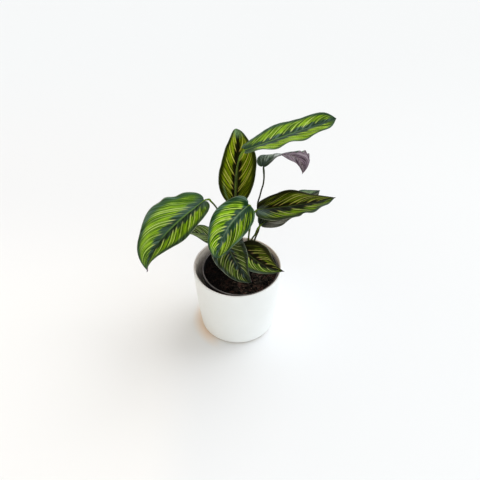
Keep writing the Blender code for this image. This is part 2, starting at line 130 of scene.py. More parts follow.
# Each leaf: where the blade starts, how its midrib runs, its widths, folds and waves (right half
# first), where its stalk leaves the soil and the points that the stalk passes. "lean" is how much
# the stalk's knee turns towards the blade's direction, where that isn't KNEE_LEAN.
LEAVES = {
    "leaf_left": dict(
        base=(-47, 6, 241), length=146, heading=-140, rise=-12, droop=45, hook=34, swing=-21,
        roll=25, twist=-25, width=(39, 42), fold=25, curl=11, wave=(3.8, 5.0), waves=(1.9, 1.8),
        phase=(0.48, 0.99), fullest=0.44, shoulder=0.62, drip=0.011, root=(3, 5),
        via=((-10, 8, 150), (-23, 8, 200), (-31, 6, 228), (-39, 6, 240))),
    "leaf_upright": dict(
        base=(-3, 43, 204), length=114, heading=73, rise=73, droop=19, hook=14, swing=28,
        roll=4, twist=-33, width=(28, 31), fold=20, curl=2, wave=(3.5, 1.6), waves=(2.2, 3.4),
        phase=(0.85, 0.34), fullest=0.46, shoulder=0.54, drip=0.008, root=(9, 19),
        via=((4, 30, 155),)),
    "leaf_top": dict(
        base=(10, 13, 324), length=134, heading=15, rise=12, droop=-11, hook=9, swing=-7,
        roll=17, twist=-18, width=(33, 31), fold=12, curl=-10, wave=(2.6, 2.4),
        waves=(3.1, 1.7), phase=(0.82, 0.63), fullest=0.44, shoulder=0.35, drip=0.033,
        root=(5, 12), via=((-1, 14, 180), (-3, 14, 241), (-2, 14, 281), (1, 13, 302))),
    "leaf_right": dict(
        base=(29, 11, 219), length=119, heading=-6, rise=12, droop=19, hook=-6, swing=30,
        roll=-3, twist=6, width=(33, 29), fold=13, curl=-8, wave=(1.9, 3.4), waves=(1.5, 1.5),
        phase=(0.45, 0.55), fullest=0.34, shoulder=0.5, drip=0.038, root=(11, 12),
        via=((16, 13, 158), (20, 14, 190))),
    "leaf_centre": dict(
        base=(17, 2, 235), length=97, heading=-134, rise=-2, droop=56, hook=17, swing=12,
        roll=37, twist=-28, width=(29, 27), fold=17, curl=-4, wave=(5.0, 3.2), waves=(2.3, 2.2),
        phase=(0.22, 0.53), fullest=0.39, shoulder=0.51, drip=0.008, root=(11, 4),
        via=((16, 7, 158), (18, 8, 200))),
    "leaf_low_centre": dict(
        base=(-18, -2, 170), length=82, heading=-70, rise=-14, droop=5, hook=-13, swing=18,
        roll=-28, twist=-43, width=(28, 30), fold=15, curl=-7, wave=(3.2, 3.2),
        waves=(1.7, 1.6), phase=(0.95, 0.8), fullest=0.3, shoulder=0.37, drip=0.014,
        root=(-1, 0), via=((-8, -1, 140),)),
    "leaf_low_right": dict(
        base=(4, -5, 162), length=78, heading=-40, rise=-32, droop=-15, hook=-17, swing=35,
        roll=-22, twist=22, width=(25, 27), fold=14, curl=-6, wave=(1.6, 3.2), waves=(1.9, 1.5),
        phase=(0.33, 0.4), fullest=0.34, shoulder=0.64, drip=0.015, root=(7, -3),
        via=((7, -4, 138),)),
    "leaf_low_left": dict(
        base=(-7, 26, 144), length=89, heading=172, rise=9, droop=6, hook=2, swing=-8, roll=-2,
        twist=-19, width=(23, 23), fold=13, curl=-8, wave=(3.2, 3.2), waves=(1.9, 1.5),
        phase=(0.03, 0.24), fullest=0.39, shoulder=0.52, drip=0.015, root=(1, 18),
        via=((-2, 22, 128),)),
    "leaf_curled": dict(
        base=(37.5, 36, 278), length=107, heading=52, rise=19, droop=83, hook=41, swing=-44,
        roll=22, twist=38, width=(27, 30), fold=13, curl=-8, wave=(4.8, 1.9), waves=(1.5, 2.8),
        phase=(0.1, 0.79), fullest=0.35, shoulder=0.62, drip=0.03, root=(17, 15),
        via=((26, 17, 155), (33, 23, 176), (30, 29, 200), (30, 32, 214), (33, 33, 227),
             (35, 34, 237), (37.5, 35, 247), (38.5, 36, 259)), lean=0.0),
    "leaf_right_behind": dict(
        base=(34, 2, 197), length=108, heading=30, rise=18, droop=11, hook=4, swing=3, roll=1,
        twist=4, width=(26, 27), fold=10, curl=-14, wave=(3.2, 3.2), waves=(3.0, 2.9),
        phase=(0.19, 0.92), fullest=0.41, shoulder=0.58, drip=0.024, root=(17, 6),
        via=((21, 8, 162), (26, 7, 174))),
}

# Short waves on a stretch of the right margin: height, waves if they ran the whole length, phase,
# and the stretch's middle and half length as shares of the blade's length.
CRIMPS = {
    "leaf_left": (4.4, 6.2, 0.44, 0.25, 0.11),
    "leaf_right": (2.4, 4.0, 0.2, 0.62, 0.2),
    "leaf_curled": (1.7, 9.0, 0.0, 0.6, 0.3),
}
NO_CRIMP = (0.0, 1.0, 0.0, 0.5, 0.1)

# Markings of each leaf, right half first. "slope" is how far a side vein runs forward, as a share
# of the length, on its way to the margin, and "bend" how much it curves. The light zone of each
# half lies between "inner" and "outer", given at the base and at the tip, and "gaps" says how far
# dark streaks break it. The stripes say where a light stripe leaves the midrib and how strong it
# is, and "line" is half their width in millimetres. The sheen patches are painted sheen, pale
# painted reflections, and the "shade" patches painted shade; each gives its place along and across
# (right is positive), its reach along and across and its strength. "lines" is the strength of the
# pale lines on the underside.
MARKS = {
    "leaf_left": dict(
        line=1.9, gaps=(0.4, 0.3), slope=(0.48, 0.2), bend=(0.15, 0.0),
        inner=((0.3, 0.14), (0.3, 0.26)), outer=((0.84, 0.87), (0.88, 0.78)),
        bloom=((0.14, 0.2, 0.16, 0.3, 0.4), (0.5, 0.97, 0.14, 0.15, 0.4),
               (0.03, -0.4, 0.1, 0.6, 0.3)),
        right_stripes=((0.0, 0.4), (0.103, 1.0), (0.14, 0.8), (0.208, 0.4), (0.308, 1.0),
                       (0.353, 0.9), (0.50, 0.6), (0.637, 0.9)),
        left_stripes=((0.038, 0.6), (0.113, 0.6), (0.167, 1.0), (0.278, 0.5), (0.353, 0.7),
                      (0.397, 1.0), (0.528, 1.0), (0.65, 0.6))),
    "leaf_top": dict(
        line=2.1, gaps=(0.25, 0.55), slope=(0.4, 0.3), bend=(0.0, 0.15),
        inner=((0.42, 0.28), (0.26, 0.24)), outer=((0.95, 0.93), (0.84, 0.8)),
        bloom=((0.6, 0.05, 0.25, 0.1, 0.3),), shade=((0.04, 0.1, 0.16, 1.0, 0.8),),
        right_stripes=((-0.12, 0.5), (-0.01, 0.7), (0.12, 0.4), (0.24, 0.6), (0.36, 0.4),
                       (0.47, 0.6), (0.6, 0.5)),
        left_stripes=((0.048, 0.4), (0.188, 0.5), (0.262, 0.9), (0.407, 0.5), (0.492, 0.8),
                      (0.623, 0.8), (0.758, 0.4))),
    "leaf_centre": dict(
        line=1.5, gaps=(0.15, 0.8), slope=(0.36, 0.52), bend=(0.15, 0.3),
        inner=((0.22, 0.22), (0.42, 0.2)), outer=((0.78, 0.9), (0.92, 0.92)),
        bloom=((0.04, 0.8, 0.13, 0.36, 0.6), (0.4, 0.0, 0.4, 0.12, 0.35),
               (0.6, -0.97, 0.3, 0.12, 0.35), (0.92, 0.6, 0.12, 0.3, 0.3)),
        shade=((0.03, 0.4, 0.1, 0.4, 0.85), (0.07, -0.4, 0.12, 0.5, 0.6),
               (0.35, -0.16, 0.22, 0.14, 0.6), (0.14, 0.7, 0.16, 0.4, 0.3)),
        right_stripes=((-0.057, 0.5), (0.117, 1.0), (0.252, 0.8), (0.333, 1.0), (0.468, 0.9),
                       (0.522, 0.8), (0.637, 1.0), (0.748, 0.8)),
        left_stripes=((0.073, 0.6), (0.212, 0.8), (0.298, 1.0), (0.442, 0.7), (0.528, 1.0),
                      (0.677, 0.9))),
    "leaf_upright": dict(
        line=1.9, gaps=(0.35, 0.35), slope=(0.52, 0.4), bend=(0.3, 0.0),
        inner=((0.22, 0.18), (0.36, 0.18)), outer=((0.9, 0.77), (0.89, 0.77)),
        bloom=((0.98, 0.0, 0.14, 1.2, 0.9), (0.16, -0.72, 0.22, 0.1, 0.6)),
        right_stripes=((0.147, 0.8), (0.188, 0.8), (0.317, 0.9), (0.427, 1.0), (0.56, 0.8),
                       (0.68, 0.8)),
        left_stripes=((0.0, 0.6), (0.123, 0.9), (0.188, 0.8), (0.323, 0.8), (0.488, 1.0),
                      (0.657, 0.9), (0.76, 0.5))),
    "leaf_right": dict(
        line=1.8, gaps=(0.9, 0.9), slope=(0.36, 0.56), bend=(0.15, 0.15),
        inner=((0.42, 0.3), (0.26, 0.1)), outer=((0.9, 0.82), (0.88, 0.82)),
        bloom=((0.03, 0.45, 0.2, 0.6, 0.9), (0.03, -0.2, 0.12, 0.3, 0.5),
               (0.8, 0.9, 0.2, 0.3, 0.5)),
        right_stripes=((-0.03, 0.7), (0.083, 0.6), (0.177, 0.8), (0.353, 0.9), (0.512, 0.8),
                       (0.617, 0.5)),
        left_stripes=((-0.007, 0.6), (0.147, 0.8), (0.232, 0.9), (0.373, 0.9), (0.458, 0.7),
                      (0.607, 0.9), (0.732, 0.6))),
    "leaf_low_centre": dict(
        line=1.35, gaps=(0.6, 0.6), slope=(0.28, 0.4), bend=(0.15, -0.15),
        inner=((0.18, 0.34), (0.2, 0.22)), outer=((0.88, 0.8), (0.82, 0.74)),
        shade=((0.04, 0.0, 0.16, 0.9, 0.6),),
        bloom=((0.4, -0.97, 0.4, 0.12, 0.3), (0.35, 0.97, 0.5, 0.12, 0.3)),
        right_stripes=((0.07, 0.5), (0.163, 0.9), (0.268, 0.6), (0.397, 0.9), (0.458, 0.7),
                       (0.603, 0.9), (0.712, 0.6)),
        left_stripes=((0.04, 0.4), (0.127, 0.6), (0.268, 0.5), (0.353, 0.9), (0.47, 0.5),
                      (0.583, 0.9))),
    "leaf_low_right": dict(
        line=1.3, gaps=(0.8, 0.9), slope=(0.4, 0.52), bend=(0.3, 0.3),
        inner=((0.26, 0.24), (0.3, 0.24)), outer=((0.84, 0.76), (0.82, 0.72)),
        bloom=((0.45, 0.95, 0.3, 0.12, 0.5),), shade=((0.06, -0.6, 0.32, 0.7, 0.85),),
        right_stripes=((0.12, 0.6), (0.242, 1.0), (0.317, 0.9), (0.472, 1.0), (0.633, 0.8)),
        left_stripes=((-0.052, 0.7), (0.123, 1.0), (0.212, 0.9), (0.353, 0.7), (0.413, 0.9),
                      (0.567, 0.8), (0.708, 0.5))),
}
PLAIN_MARKS = dict(
    gaps=(0.8, 0.8), slope=(0.4, 0.4), bend=(0.15, 0.15), inner=((0.2, 0.2), (0.2, 0.2)),
    outer=((0.86, 0.76), (0.86, 0.76)),
    bloom=((0.15, 0.5, 0.4, 0.7, 0.25), (0.6, -0.3, 0.2, 0.5, 0.3)),
    right_stripes=((0.06, 0.7), (0.15, 0.9), (0.27, 0.8), (0.38, 0.9), (0.5, 0.8), (0.62, 0.8)),
    left_stripes=((0.02, 0.7), (0.12, 0.8), (0.23, 0.9), (0.36, 0.8), (0.47, 0.9), (0.6, 0.8)))
MARKS["leaf_curled"] = dict(
    PLAIN_MARKS, lines=0.6, bloom=((0.38, 0.1, 0.24, 0.9, 0.9), (0.3, 0.5, 0.18, 0.5, 0.8)),
    shade=((0.04, 0.0, 0.14, 0.9, 0.4),), right_stripes=((0.06, 0.4), (0.27, 0.5), (0.5, 0.6)),
    left_stripes=((0.02, 0.4), (0.23, 0.5), (0.47, 0.6)))
MARKS["leaf_right_behind"] = dict(
    PLAIN_MARKS, gaps=(1.0, 0.5), outer=((0.98, 0.9), (0.86, 0.76)),
    bloom=((0.3, 0.75, 0.4, 0.3, 0.75), (0.75, -0.4, 0.2, 0.6, 0.5)))
MARKS["leaf_low_left"] = dict(
    PLAIN_MARKS, line=1.1, inner=((0.1, 0.1), (0.1, 0.1)), outer=((0.96, 0.92), (0.96, 0.92)),
    bloom=(), right_stripes=((0.1, 0.9), (0.22, 1.0), (0.34, 0.9), (0.46, 1.0), (0.58, 0.9)),
    left_stripes=((0.04, 0.9), (0.15, 1.0), (0.26, 0.9), (0.37, 1.0), (0.48, 0.9), (0.6, 0.9)))

# Leaf paints: "band" is the light zone's colour, "streak" its lighter and "between" its darker
# streaks, "stripe" the thin stripes and "blush" their inner ends, "middle" the dark feathered
# centre with darker streaks of "shade" and streaks of "gleam", which are painted sheen, "rib" the
# midrib, "margin" the edge, the sheen colour that of the patches of painted sheen, "under" the
# underside and the crease colour the painted shade in the underside's folds. "right" and "left"
# change some of them on one half; in part these changes are painted light, a half painted
# lighter or darker by how it faces the light. Numbers are display values from 0 to 255.
BRIGHT = dict(
    slot="leaf_bright", band=(124, 168, 18), streak=(176, 214, 64), between=(52, 84, 10),
    stripe=(220, 248, 136), blush=(226, 220, 160), middle=(60, 86, 66), shade=(26, 42, 26),
    gleam=(100, 128, 116), rib=(112, 148, 72), margin=(58, 86, 56), bloom=(118, 144, 130),
    under=(112, 90, 104), crease=(88, 70, 82))
OLIVE = dict(
    slot="leaf_olive", band=(104, 122, 4), streak=(144, 160, 34), between=(46, 56, 0),
    stripe=(200, 196, 88), blush=(182, 152, 84), middle=(16, 16, 0), shade=(8, 8, 0),
    gleam=(36, 40, 14), rib=(66, 80, 30), margin=(42, 52, 4), bloom=(100, 118, 100),
    under=(106, 86, 98), crease=(84, 66, 78))
DARK = dict(
    slot="leaf_dark", band=(90, 114, 36), streak=(138, 160, 82), between=(24, 36, 10),
    stripe=(206, 218, 148), blush=(198, 172, 138), middle=(42, 54, 44), shade=(16, 24, 16),
    gleam=(84, 104, 106), rib=(84, 104, 62), margin=(48, 60, 40), bloom=(112, 118, 112),
    under=(108, 90, 102), crease=(86, 70, 80))
PAINTS = {
    "leaf_left": dict(
        BRIGHT, seed=1.3,
        right=dict(band=(154, 200, 40), between=(70, 108, 26), streak=(196, 234, 92),
                   middle=(64, 92, 72), margin=(68, 98, 64)),
        left=dict(band=(116, 158, 8), between=(50, 76, 6), streak=(154, 190, 38),
                  stripe=(204, 232, 108), middle=(42, 60, 42), shade=(18, 30, 14),
                  gleam=(68, 88, 76), margin=(58, 80, 50))),
    "leaf_top": dict(
        BRIGHT, seed=4.1, band=(138, 182, 28), middle=(52, 76, 60), stripe=(208, 238, 122),
        streak=(186, 222, 76), shade=(22, 50, 22),
        right=dict(band=(150, 192, 20), between=(48, 78, 14), streak=(200, 232, 74))),
    "leaf_centre": dict(
        BRIGHT, seed=7.7, middle=(58, 84, 66), band=(148, 198, 26), streak=(208, 246, 84),
        between=(44, 82, 10), stripe=(226, 252, 128), rib=(126, 152, 106), shade=(12, 50, 16),
        margin=(60, 92, 60),
        left=dict(band=(128, 172, 8), between=(24, 48, 4), streak=(184, 226, 52))),
    "leaf_upright": dict(
        OLIVE, seed=2.9, band=(114, 136, 4), streak=(154, 172, 34), between=(54, 66, 0),
        bloom=(128, 164, 110),
        left=dict(band=(138, 162, 4), streak=(178, 194, 46), stripe=(228, 226, 104))),
    "leaf_right": dict(
        OLIVE, seed=5.2,
        right=dict(band=(108, 144, 12), between=(28, 40, 4), streak=(150, 182, 44),
                   stripe=(204, 216, 120), middle=(16, 22, 10), gleam=(60, 72, 60),
                   margin=(50, 64, 38), bloom=(104, 126, 116)),
        left=dict(band=(88, 108, 2), between=(12, 16, 0), streak=(132, 148, 22),
                  stripe=(186, 186, 96), margin=(28, 28, 6))),
    "leaf_low_right": dict(
        OLIVE, seed=8.4,
        right=dict(band=(116, 158, 30), between=(34, 48, 8), streak=(172, 214, 72),
                   stripe=(220, 240, 130), middle=(30, 34, 18), gleam=(62, 70, 56),
                   margin=(64, 76, 56)),
        left=dict(band=(96, 116, 14), between=(14, 16, 0), streak=(142, 162, 46),
                  stripe=(206, 206, 106), blush=(220, 158, 124), middle=(16, 16, 4),
                  gleam=(44, 46, 28), margin=(42, 40, 16))),
    "leaf_low_centre": dict(DARK, seed=3.6, stripe=(190, 204, 134), blush=(188, 160, 134)),
    # This leaf's grey, pale colours are painted sheen, a reflection on the part below the right
    # leaf; its left half is greener.
    "leaf_right_behind": dict(
        DARK, seed=6.5, band=(134, 142, 118), between=(26, 26, 14),
        streak=(206, 210, 190), middle=(56, 66, 54), margin=(60, 58, 40), bloom=(190, 196, 178),
        left=dict(band=(120, 150, 96), streak=(168, 196, 140), margin=(78, 104, 78),
                  bloom=(164, 192, 146))),
    "leaf_low_left": dict(
        DARK, slot="leaf_muted", seed=9.1, band=(90, 116, 42), streak=(142, 162, 98),
        stripe=(166, 182, 124), blush=(156, 158, 118), between=(12, 20, 2), middle=(40, 52, 26),
        margin=(50, 66, 30)),
    "leaf_curled": dict(
        DARK, slot="leaf_curled", stalk="dark_stalk", seed=0.7, band=(90, 112, 82),
        between=(34, 52, 34), stripe=(150, 166, 148), blush=(130, 132, 126),
        streak=(170, 184, 172), middle=(46, 66, 50), margin=(66, 88, 68),
        bloom=(186, 194, 190), under=(156, 134, 150), crease=(66, 52, 62),
        # On the right half the sheen colour is lavender: it also stands for the underside, seen
        # where the blade twists.
        right=dict(bloom=(172, 164, 180))),
}

# Stalk colours: dark streaks, light streaks and the knee under the blade.
STALKS = {
    "green_stalk": ((46, 58, 12), (92, 110, 32), (106, 136, 36)),
    "dark_stalk": ((22, 28, 12), (54, 60, 32), (46, 60, 36)),
}


def paint(colour):
    """A linear colour from display values between 0 and 255."""
    shares = [value / 255 for value in colour]
    return tuple(s / 12.92 if s <= 0.04045 else ((s + 0.055) / 1.055) ** 2.4 for s in shares)


# Node expressions

def operators(operation):
    """An operator that adds a node, and its reflected form."""
    def plain(self, other):
        return self.maker.sum(operation, self, other)

    def reflected(self, other):
        return self.maker.sum(operation, other, self)

    return plain, reflected


class Flow:
    """One output of a node. Sums with it add Math nodes, or Vector Math nodes for vectors."""
    __add__, __radd__ = operators("ADD")
    __sub__, __rsub__ = operators("SUBTRACT")
    __mul__, __rmul__ = operators("MULTIPLY")
    __truediv__, __rtruediv__ = operators("DIVIDE")
    __pow__, __rpow__ = operators("POWER")

    def __init__(self, maker, socket):
        self.maker = maker
        self.socket = socket

    def is_vector(self):
        return self.socket.type == "VECTOR"

    def __neg__(self):
        return self.maker.sum("MULTIPLY", self, -1.0)

    def __abs__(self):
        return self.maker.math("ABSOLUTE", self)


class Maker:
    """Adds nodes to one node tree."""

    def __init__(self, tree):
        self.tree = tree

    def add(self, kind, settings=None, sockets=None, out=0):
        """One node of a type, with its settings and the values or links of its sockets."""
        node = self.tree.nodes.new(kind)
        for name, value in (settings or {}).items():
            if name == "stops":
                self.set_stops(node.color_ramp, value)
            else:
                setattr(node, name, value)
        for key, value in (sockets or {}).items():
            self.feed(node.inputs[key], value)
        return Flow(self, node.outputs[out])

    def feed(self, target, value):
        """Link a socket to a node's output, or set it to a plain value."""
        if isinstance(value, Flow):
            self.tree.links.new(value.socket, target)
        else:
            target.default_value = value

    @staticmethod
    def set_stops(ramp, stops):
        """Give a colour ramp its stops, each a place and a colour of three numbers."""
        ramp.interpolation = "EASE"
        while len(ramp.elements) < len(stops):
            ramp.elements.new(1.0)
        for element, (place, colour) in zip(ramp.elements, stops):
            element.position = place
            element.color = (*colour, 1.0)

    def math(self, operation, *values):
        return self.add("ShaderNodeMath", {"operation": operation}, dict(enumerate(values)))

    def vectors(self, operation, *values):
        out = "Value" if operation == "LENGTH" else 0
        return self.add("ShaderNodeVectorMath", {"operation": operation},
                        dict(enumerate(values)), out)

    def sum(self, operation, first, second):
        """The node for one operator, on numbers or on vectors."""
        kinds = [isinstance(v, tuple) or isinstance(v, Flow) and v.is_vector()
                 for v in (first, second)]
        if not any(kinds):
            return self.math(operation, first, second)
        if operation == "MULTIPLY" and not all(kinds):
            vector, scale = (first, second) if kinds[0] else (second, first)
            return self.add("ShaderNodeVectorMath", {"operation": "SCALE"},
                            {0: vector, "Scale": scale})
        return self.vectors(operation, first, second)

    def ramp(self, value, low, high, start=0.0, end=1.0):
        """A smooth step of a value from start at low to end at high."""
        return self.add("ShaderNodeMapRange", {"interpolation_type": "SMOOTHSTEP"}, {
            "Value": value, "From Min": low, "From Max": high, "To Min": start, "To Max": end})

    def ramp_line(self, value, low, high):
        """A straight step of a value from 0 at low to 1 at high."""
        return self.add("ShaderNodeMapRange", {"clamp": True}, {
            "Value": value, "From Min": low, "From Max": high})

    def mix(self, share, first, second):
        """Two colours blended by a share."""
        sockets = {0: share}
        for key, colour in ((6, first), (7, second)):
            sockets[key] = colour if isinstance(colour, Flow) else (*colour, 1.0)
        return self.add("ShaderNodeMix", {"data_type": "RGBA"}, sockets, 2)

    def xyz(self, x=0.0, y=0.0, z=0.0):
        return self.add("ShaderNodeCombineXYZ", None, {"X": x, "Y": y, "Z": z})

    def parts(self, vector):
        node = self.add("ShaderNodeSeparateXYZ", None, {0: vector}).socket.node
        return [Flow(self, socket) for socket in node.outputs]

    def noise(self, vector, scale, detail=2.0, rough=0.5):
        return self.add("ShaderNodeTexNoise", None, {
            "Vector": vector, "Scale": scale, "Detail": detail, "Roughness": rough})

    def attribute(self, name):
        """A number that the mesh keeps, for use in a material."""
        return self.add("ShaderNodeAttribute", {"attribute_name": name}, out="Fac")

    def spot(self):
        """The place on the piece, in object coordinates."""
        return self.add("ShaderNodeTexCoord", out="Object")


# Materials

def new_material(name):
    """An empty material with its maker and its Principled shader."""
    made = bpy.data.materials.new(name)
    made.use_nodes = True
    shader = made.node_tree.nodes["Principled BSDF"]
    return made, Maker(made.node_tree), shader


def wire(maker, shader, **sockets):
    """Set or link sockets of the Principled shader, named with _ for spaces."""
    for key, value in sockets.items():
        maker.feed(shader.inputs[key.replace("_", " ")], value)


def bump(maker, height, distance, strength=1.0):
    return maker.add("ShaderNodeBump", None, {
        "Strength": strength, "Distance": distance, "Height": height})


# The stretch of the midrib that the stripes' ramp covers, what a stripe shows beside itself
# (stripe, light band and inward reach), how light the band is under it, and half its width in
# millimetres where a leaf gives none.
STRIPE_SPAN = (-0.3, 1.0)
STRIPE_BESIDE = (0.0, 0.12, 0.45)
STRIPE_BAND = 0.7
STRIPE_HALF_WIDTH = 1.5

# Streaks along the side veins: how many broad, middling and fine ones pass on a blade that is
# FINE_LENGTH metres long. RIB_REACH is where the midrib's colour starts and ends fading.
SWATHS = 22.0
BRUSH_STROKES = 44.0
HAIRS = 150.0
FINE_LENGTH = 0.12
RIB_REACH = (0.02, 0.05)


def stripe_stops(stripes, half):
    """Ramp stops along the midrib: stripe strength, light band strength and inward reach."""
    low, high = STRIPE_SPAN
    stops = []
    for number, (place, strength) in enumerate(stripes):
        if number:
            middle = (place + stripes[number - 1][0]) / 2
            stops.append((middle, (0.0, 1.0, 0.0)))
        stops.append((place - half, STRIPE_BESIDE))
        stops.append((place, (strength, STRIPE_BAND, 1.0)))
        stops.append((place + half, STRIPE_BESIDE))
    stops.sort(key=lambda stop: stop[0])
    return [((place - low) / (high - low), colour) for place, colour in stops]


def blade_material(name, leaf, marks):
    """A light zone with thin stripes that follow the side veins, on a dark blade, purple below."""
    made, m, shader = new_material(name + "_blade")
    place = m.add("ShaderNodeUVMap", {"uv_map": "leaf_map"})
    along, map_across, _ = m.parts(place)
    across = 2.0 * map_across - 1.0
    reach = abs(across)
    right = m.math("GREATER_THAN", across, 0.0)
    vein = m.attribute("vein")
    top = m.math("GREATER_THAN", m.attribute("side"), 0.0)
    seed = leaf.seed
    spot = m.spot()

    def halves(pair):
        """A number that may differ between the right and the left half."""
        right_value, left_value = pair
        return left_value + (right_value - left_value) * right

    def coat(key):
        """A colour of the leaf, which may differ between the halves."""
        left_colour = tuple(getattr(leaf.left_paint, key))
        right_colour = tuple(getattr(leaf.right_paint, key))
        if left_colour == right_colour:
            return left_colour
        return m.mix(right, left_colour, right_colour)

    drift = m.noise(m.xyz(vein * 7.0, reach * 2.2, right * 3.0 + seed), 1.0, 2.0)
    vein = vein + 0.022 * (drift - 0.5)
    fine = leaf.length / FINE_LENGTH

    def streaks(count, stretch, start, detail):
        """Noise drawn out along the side veins, different on the two halves."""
        drawn_out = m.xyz(vein * (count * fine), reach * stretch, right * 5.0 + start)
        return m.noise(drawn_out, 1.0, detail, 0.6)

    brush = streaks(BRUSH_STROKES, 1.7, seed, 3.0)
    hairs = streaks(HAIRS, 3.2, seed, 2.0)
    swath = streaks(SWATHS, 1.3, -seed, 3.0)
    feather = 0.6 * brush + 0.4 * hairs

    low, high = STRIPE_SPAN
    way = (vein - low) / (high - low)
    half_line = marks.get("line", STRIPE_HALF_WIDTH) * MM / leaf.length
    strips = [m.add("ShaderNodeValToRGB", {"stops": stripe_stops(marks[key], half_line)}, {0: way})
              for key in ("left_stripes", "right_stripes")]
    stripe, band, finger = m.parts(m.mix(right, *strips))

    def edge_of(key):
        """Reach of the light zone's inner or outer edge along the blade."""
        (right_base, right_tip), (left_base, left_tip) = marks[key]
        at_base = halves((right_base, left_base))
        return at_base + (halves((right_tip, left_tip)) - at_base) * along

    inner = edge_of("inner")
    outer = edge_of("outer") - 0.1 * m.ramp(along, 0.75, 1.0)
    ends = m.ramp(along + 0.08 * (reach - 0.4), 0.03, 0.13) * (1.0 - m.ramp(along, 0.9, 0.98))
    edge = reach + 0.42 * (feather - 0.5)
    start = m.ramp(edge + 0.14 * finger, inner, inner + 0.12)
    stop = 1.0 - m.ramp(edge, outer - 0.14, outer + 0.05)
    zone = start * stop * ends

    deep = m.mix(m.ramp(reach, 0.5, 0.8), coat("middle"), coat("margin"))
    deep = m.mix(0.75 * m.ramp(swath, 0.52, 0.4), deep, coat("shade"))
    veined = 0.5 * swath + 0.5 * brush
    # Pale streaks of "gleam" along the veins: painted sheen on the middle and the margin.
    deep = m.mix(0.65 * m.ramp(veined, 0.51, 0.6), deep, coat("gleam"))
    weave = m.ramp(feather, 0.36, 0.64)
    lively = m.mix(m.ramp(0.6 * band + 0.7 * weave, 0.3, 0.95), coat("between"), coat("band"))
    lively = m.mix(0.85 * m.ramp(feather, 0.51, 0.62), lively, coat("streak"))
    gaps = halves(marks["gaps"]) * m.ramp(swath, 0.5, 0.4)
    lively = m.mix(gaps, lively, coat("between"))
    colour = m.mix(0.96 * zone, deep, lively)

    line_start = m.ramp(reach, inner - 0.16, inner - 0.04)
    line_stop = 1.0 - m.ramp(reach, outer - 0.2, outer + 0.02)
    line = stripe * line_start * line_stop * ends * (0.75 + 0.5 * hairs)
    blush = m.mix(m.ramp(reach, inner - 0.12, inner + 0.02), coat("blush"), coat("stripe"))
    colour = m.mix(m.math("MINIMUM", line, 0.95), colour, blush)

    def patches(key, full):
        """The strength of each patch of a kind, whole up to a share of its reach."""
        for patch_along, patch_across, long, wide, strength in marks.get(key, ()):
            apart = m.xyz((along - patch_along) / long, (across - patch_across) / wide)
            away = m.vectors("LENGTH", apart + 0.6 * (drift - 0.5))
            yield m.ramp(away, full, 1.0, strength, 0.0)

    # Patches of painted sheen: pale painted reflections, streaked along the veins.
    glint = 0.3 + 1.1 * m.ramp(feather, 0.42, 0.6)
    for patch in patches("bloom", 0.2):
        colour = m.mix(m.math("MINIMUM", patch * glint, 0.9), colour, coat("bloom"))
    for patch in patches("shade", 0.3):
        colour = m.mix(patch, colour, coat("shade"))

    mottle = m.noise(spot, 90.0, 3.0, 0.6)
    colour = m.mix(0.22 * m.ramp(mottle, 0.45, 0.7), colour, coat("margin"))
    rib = 1.0 - m.ramp(reach, *RIB_REACH)
    colour = m.mix(0.75 * rib * (1.0 - m.ramp(along, 0.35, 0.75)), colour, coat("rib"))
    rim = m.ramp(reach, 0.96, 0.985)
    colour = m.mix(rim * m.ramp(drift, 0.4, 0.6, 0.25, 0.85), colour, paint((152, 164, 136)))

    # Darker streaks along the veins on the underside: painted shade in its folds.
    folds = m.noise(m.xyz(vein * 30.0, reach * 1.2, seed), 1.0, 2.0)
    under = m.mix(m.ramp(folds, 0.4, 0.6), coat("under"), coat("crease"))
    under = m.mix(marks.get("lines", 0.25) * m.ramp(veined, 0.5, 0.6), under,
                  paint((218, 206, 216)))
    under = m.mix(0.4 * stripe * (1.0 - rim), under, paint((180, 164, 172)))
    under = m.mix(rib, under, paint((132, 120, 116)))
    colour = m.mix(top, under, colour)

    relief = 0.6 * brush + 0.4 * hairs + 0.2 * m.noise(spot, 900.0, 2.0)
    wire(m, shader, Base_Color=colour,
         Roughness=m.ramp(feather + 0.4 * (1.0 - top), 0.3, 1.0, 0.4, 0.56),
         Normal=bump(m, relief, 0.0005, 0.4), Specular_IOR_Level=0.05,
         Specular_Tint=(0.9, 0.95, 0.5, 1.0))
    return made


def stalk_material(name, dark, light, knee):
    """A stalk: browner towards the soil, with dark and light streaks, fresher at the knee."""
    made, m, shader = new_material(name)
    way = m.attribute("way")
    spot = m.spot()
    streaks = m.noise(spot * (1.0, 1.0, 0.06), 900.0, 3.0, 0.6)
    body = m.mix(m.ramp(streaks, 0.35, 0.65), paint(dark), paint(light))
    foot = m.mix(m.ramp(streaks, 0.4, 0.6), paint((60, 50, 36)), paint((102, 96, 62)))
    colour = m.mix(m.ramp(way, 0.1, 0.6), foot, body)
    colour = m.mix(m.ramp(way, 0.84, 0.93), colour, paint(knee))
    wire(m, shader, Base_Color=colour, Roughness=m.ramp(streaks, 0.3, 0.7, 0.42, 0.58),
         Normal=bump(m, streaks, 0.0003, 0.4), Specular_IOR_Level=0.08)
    return made


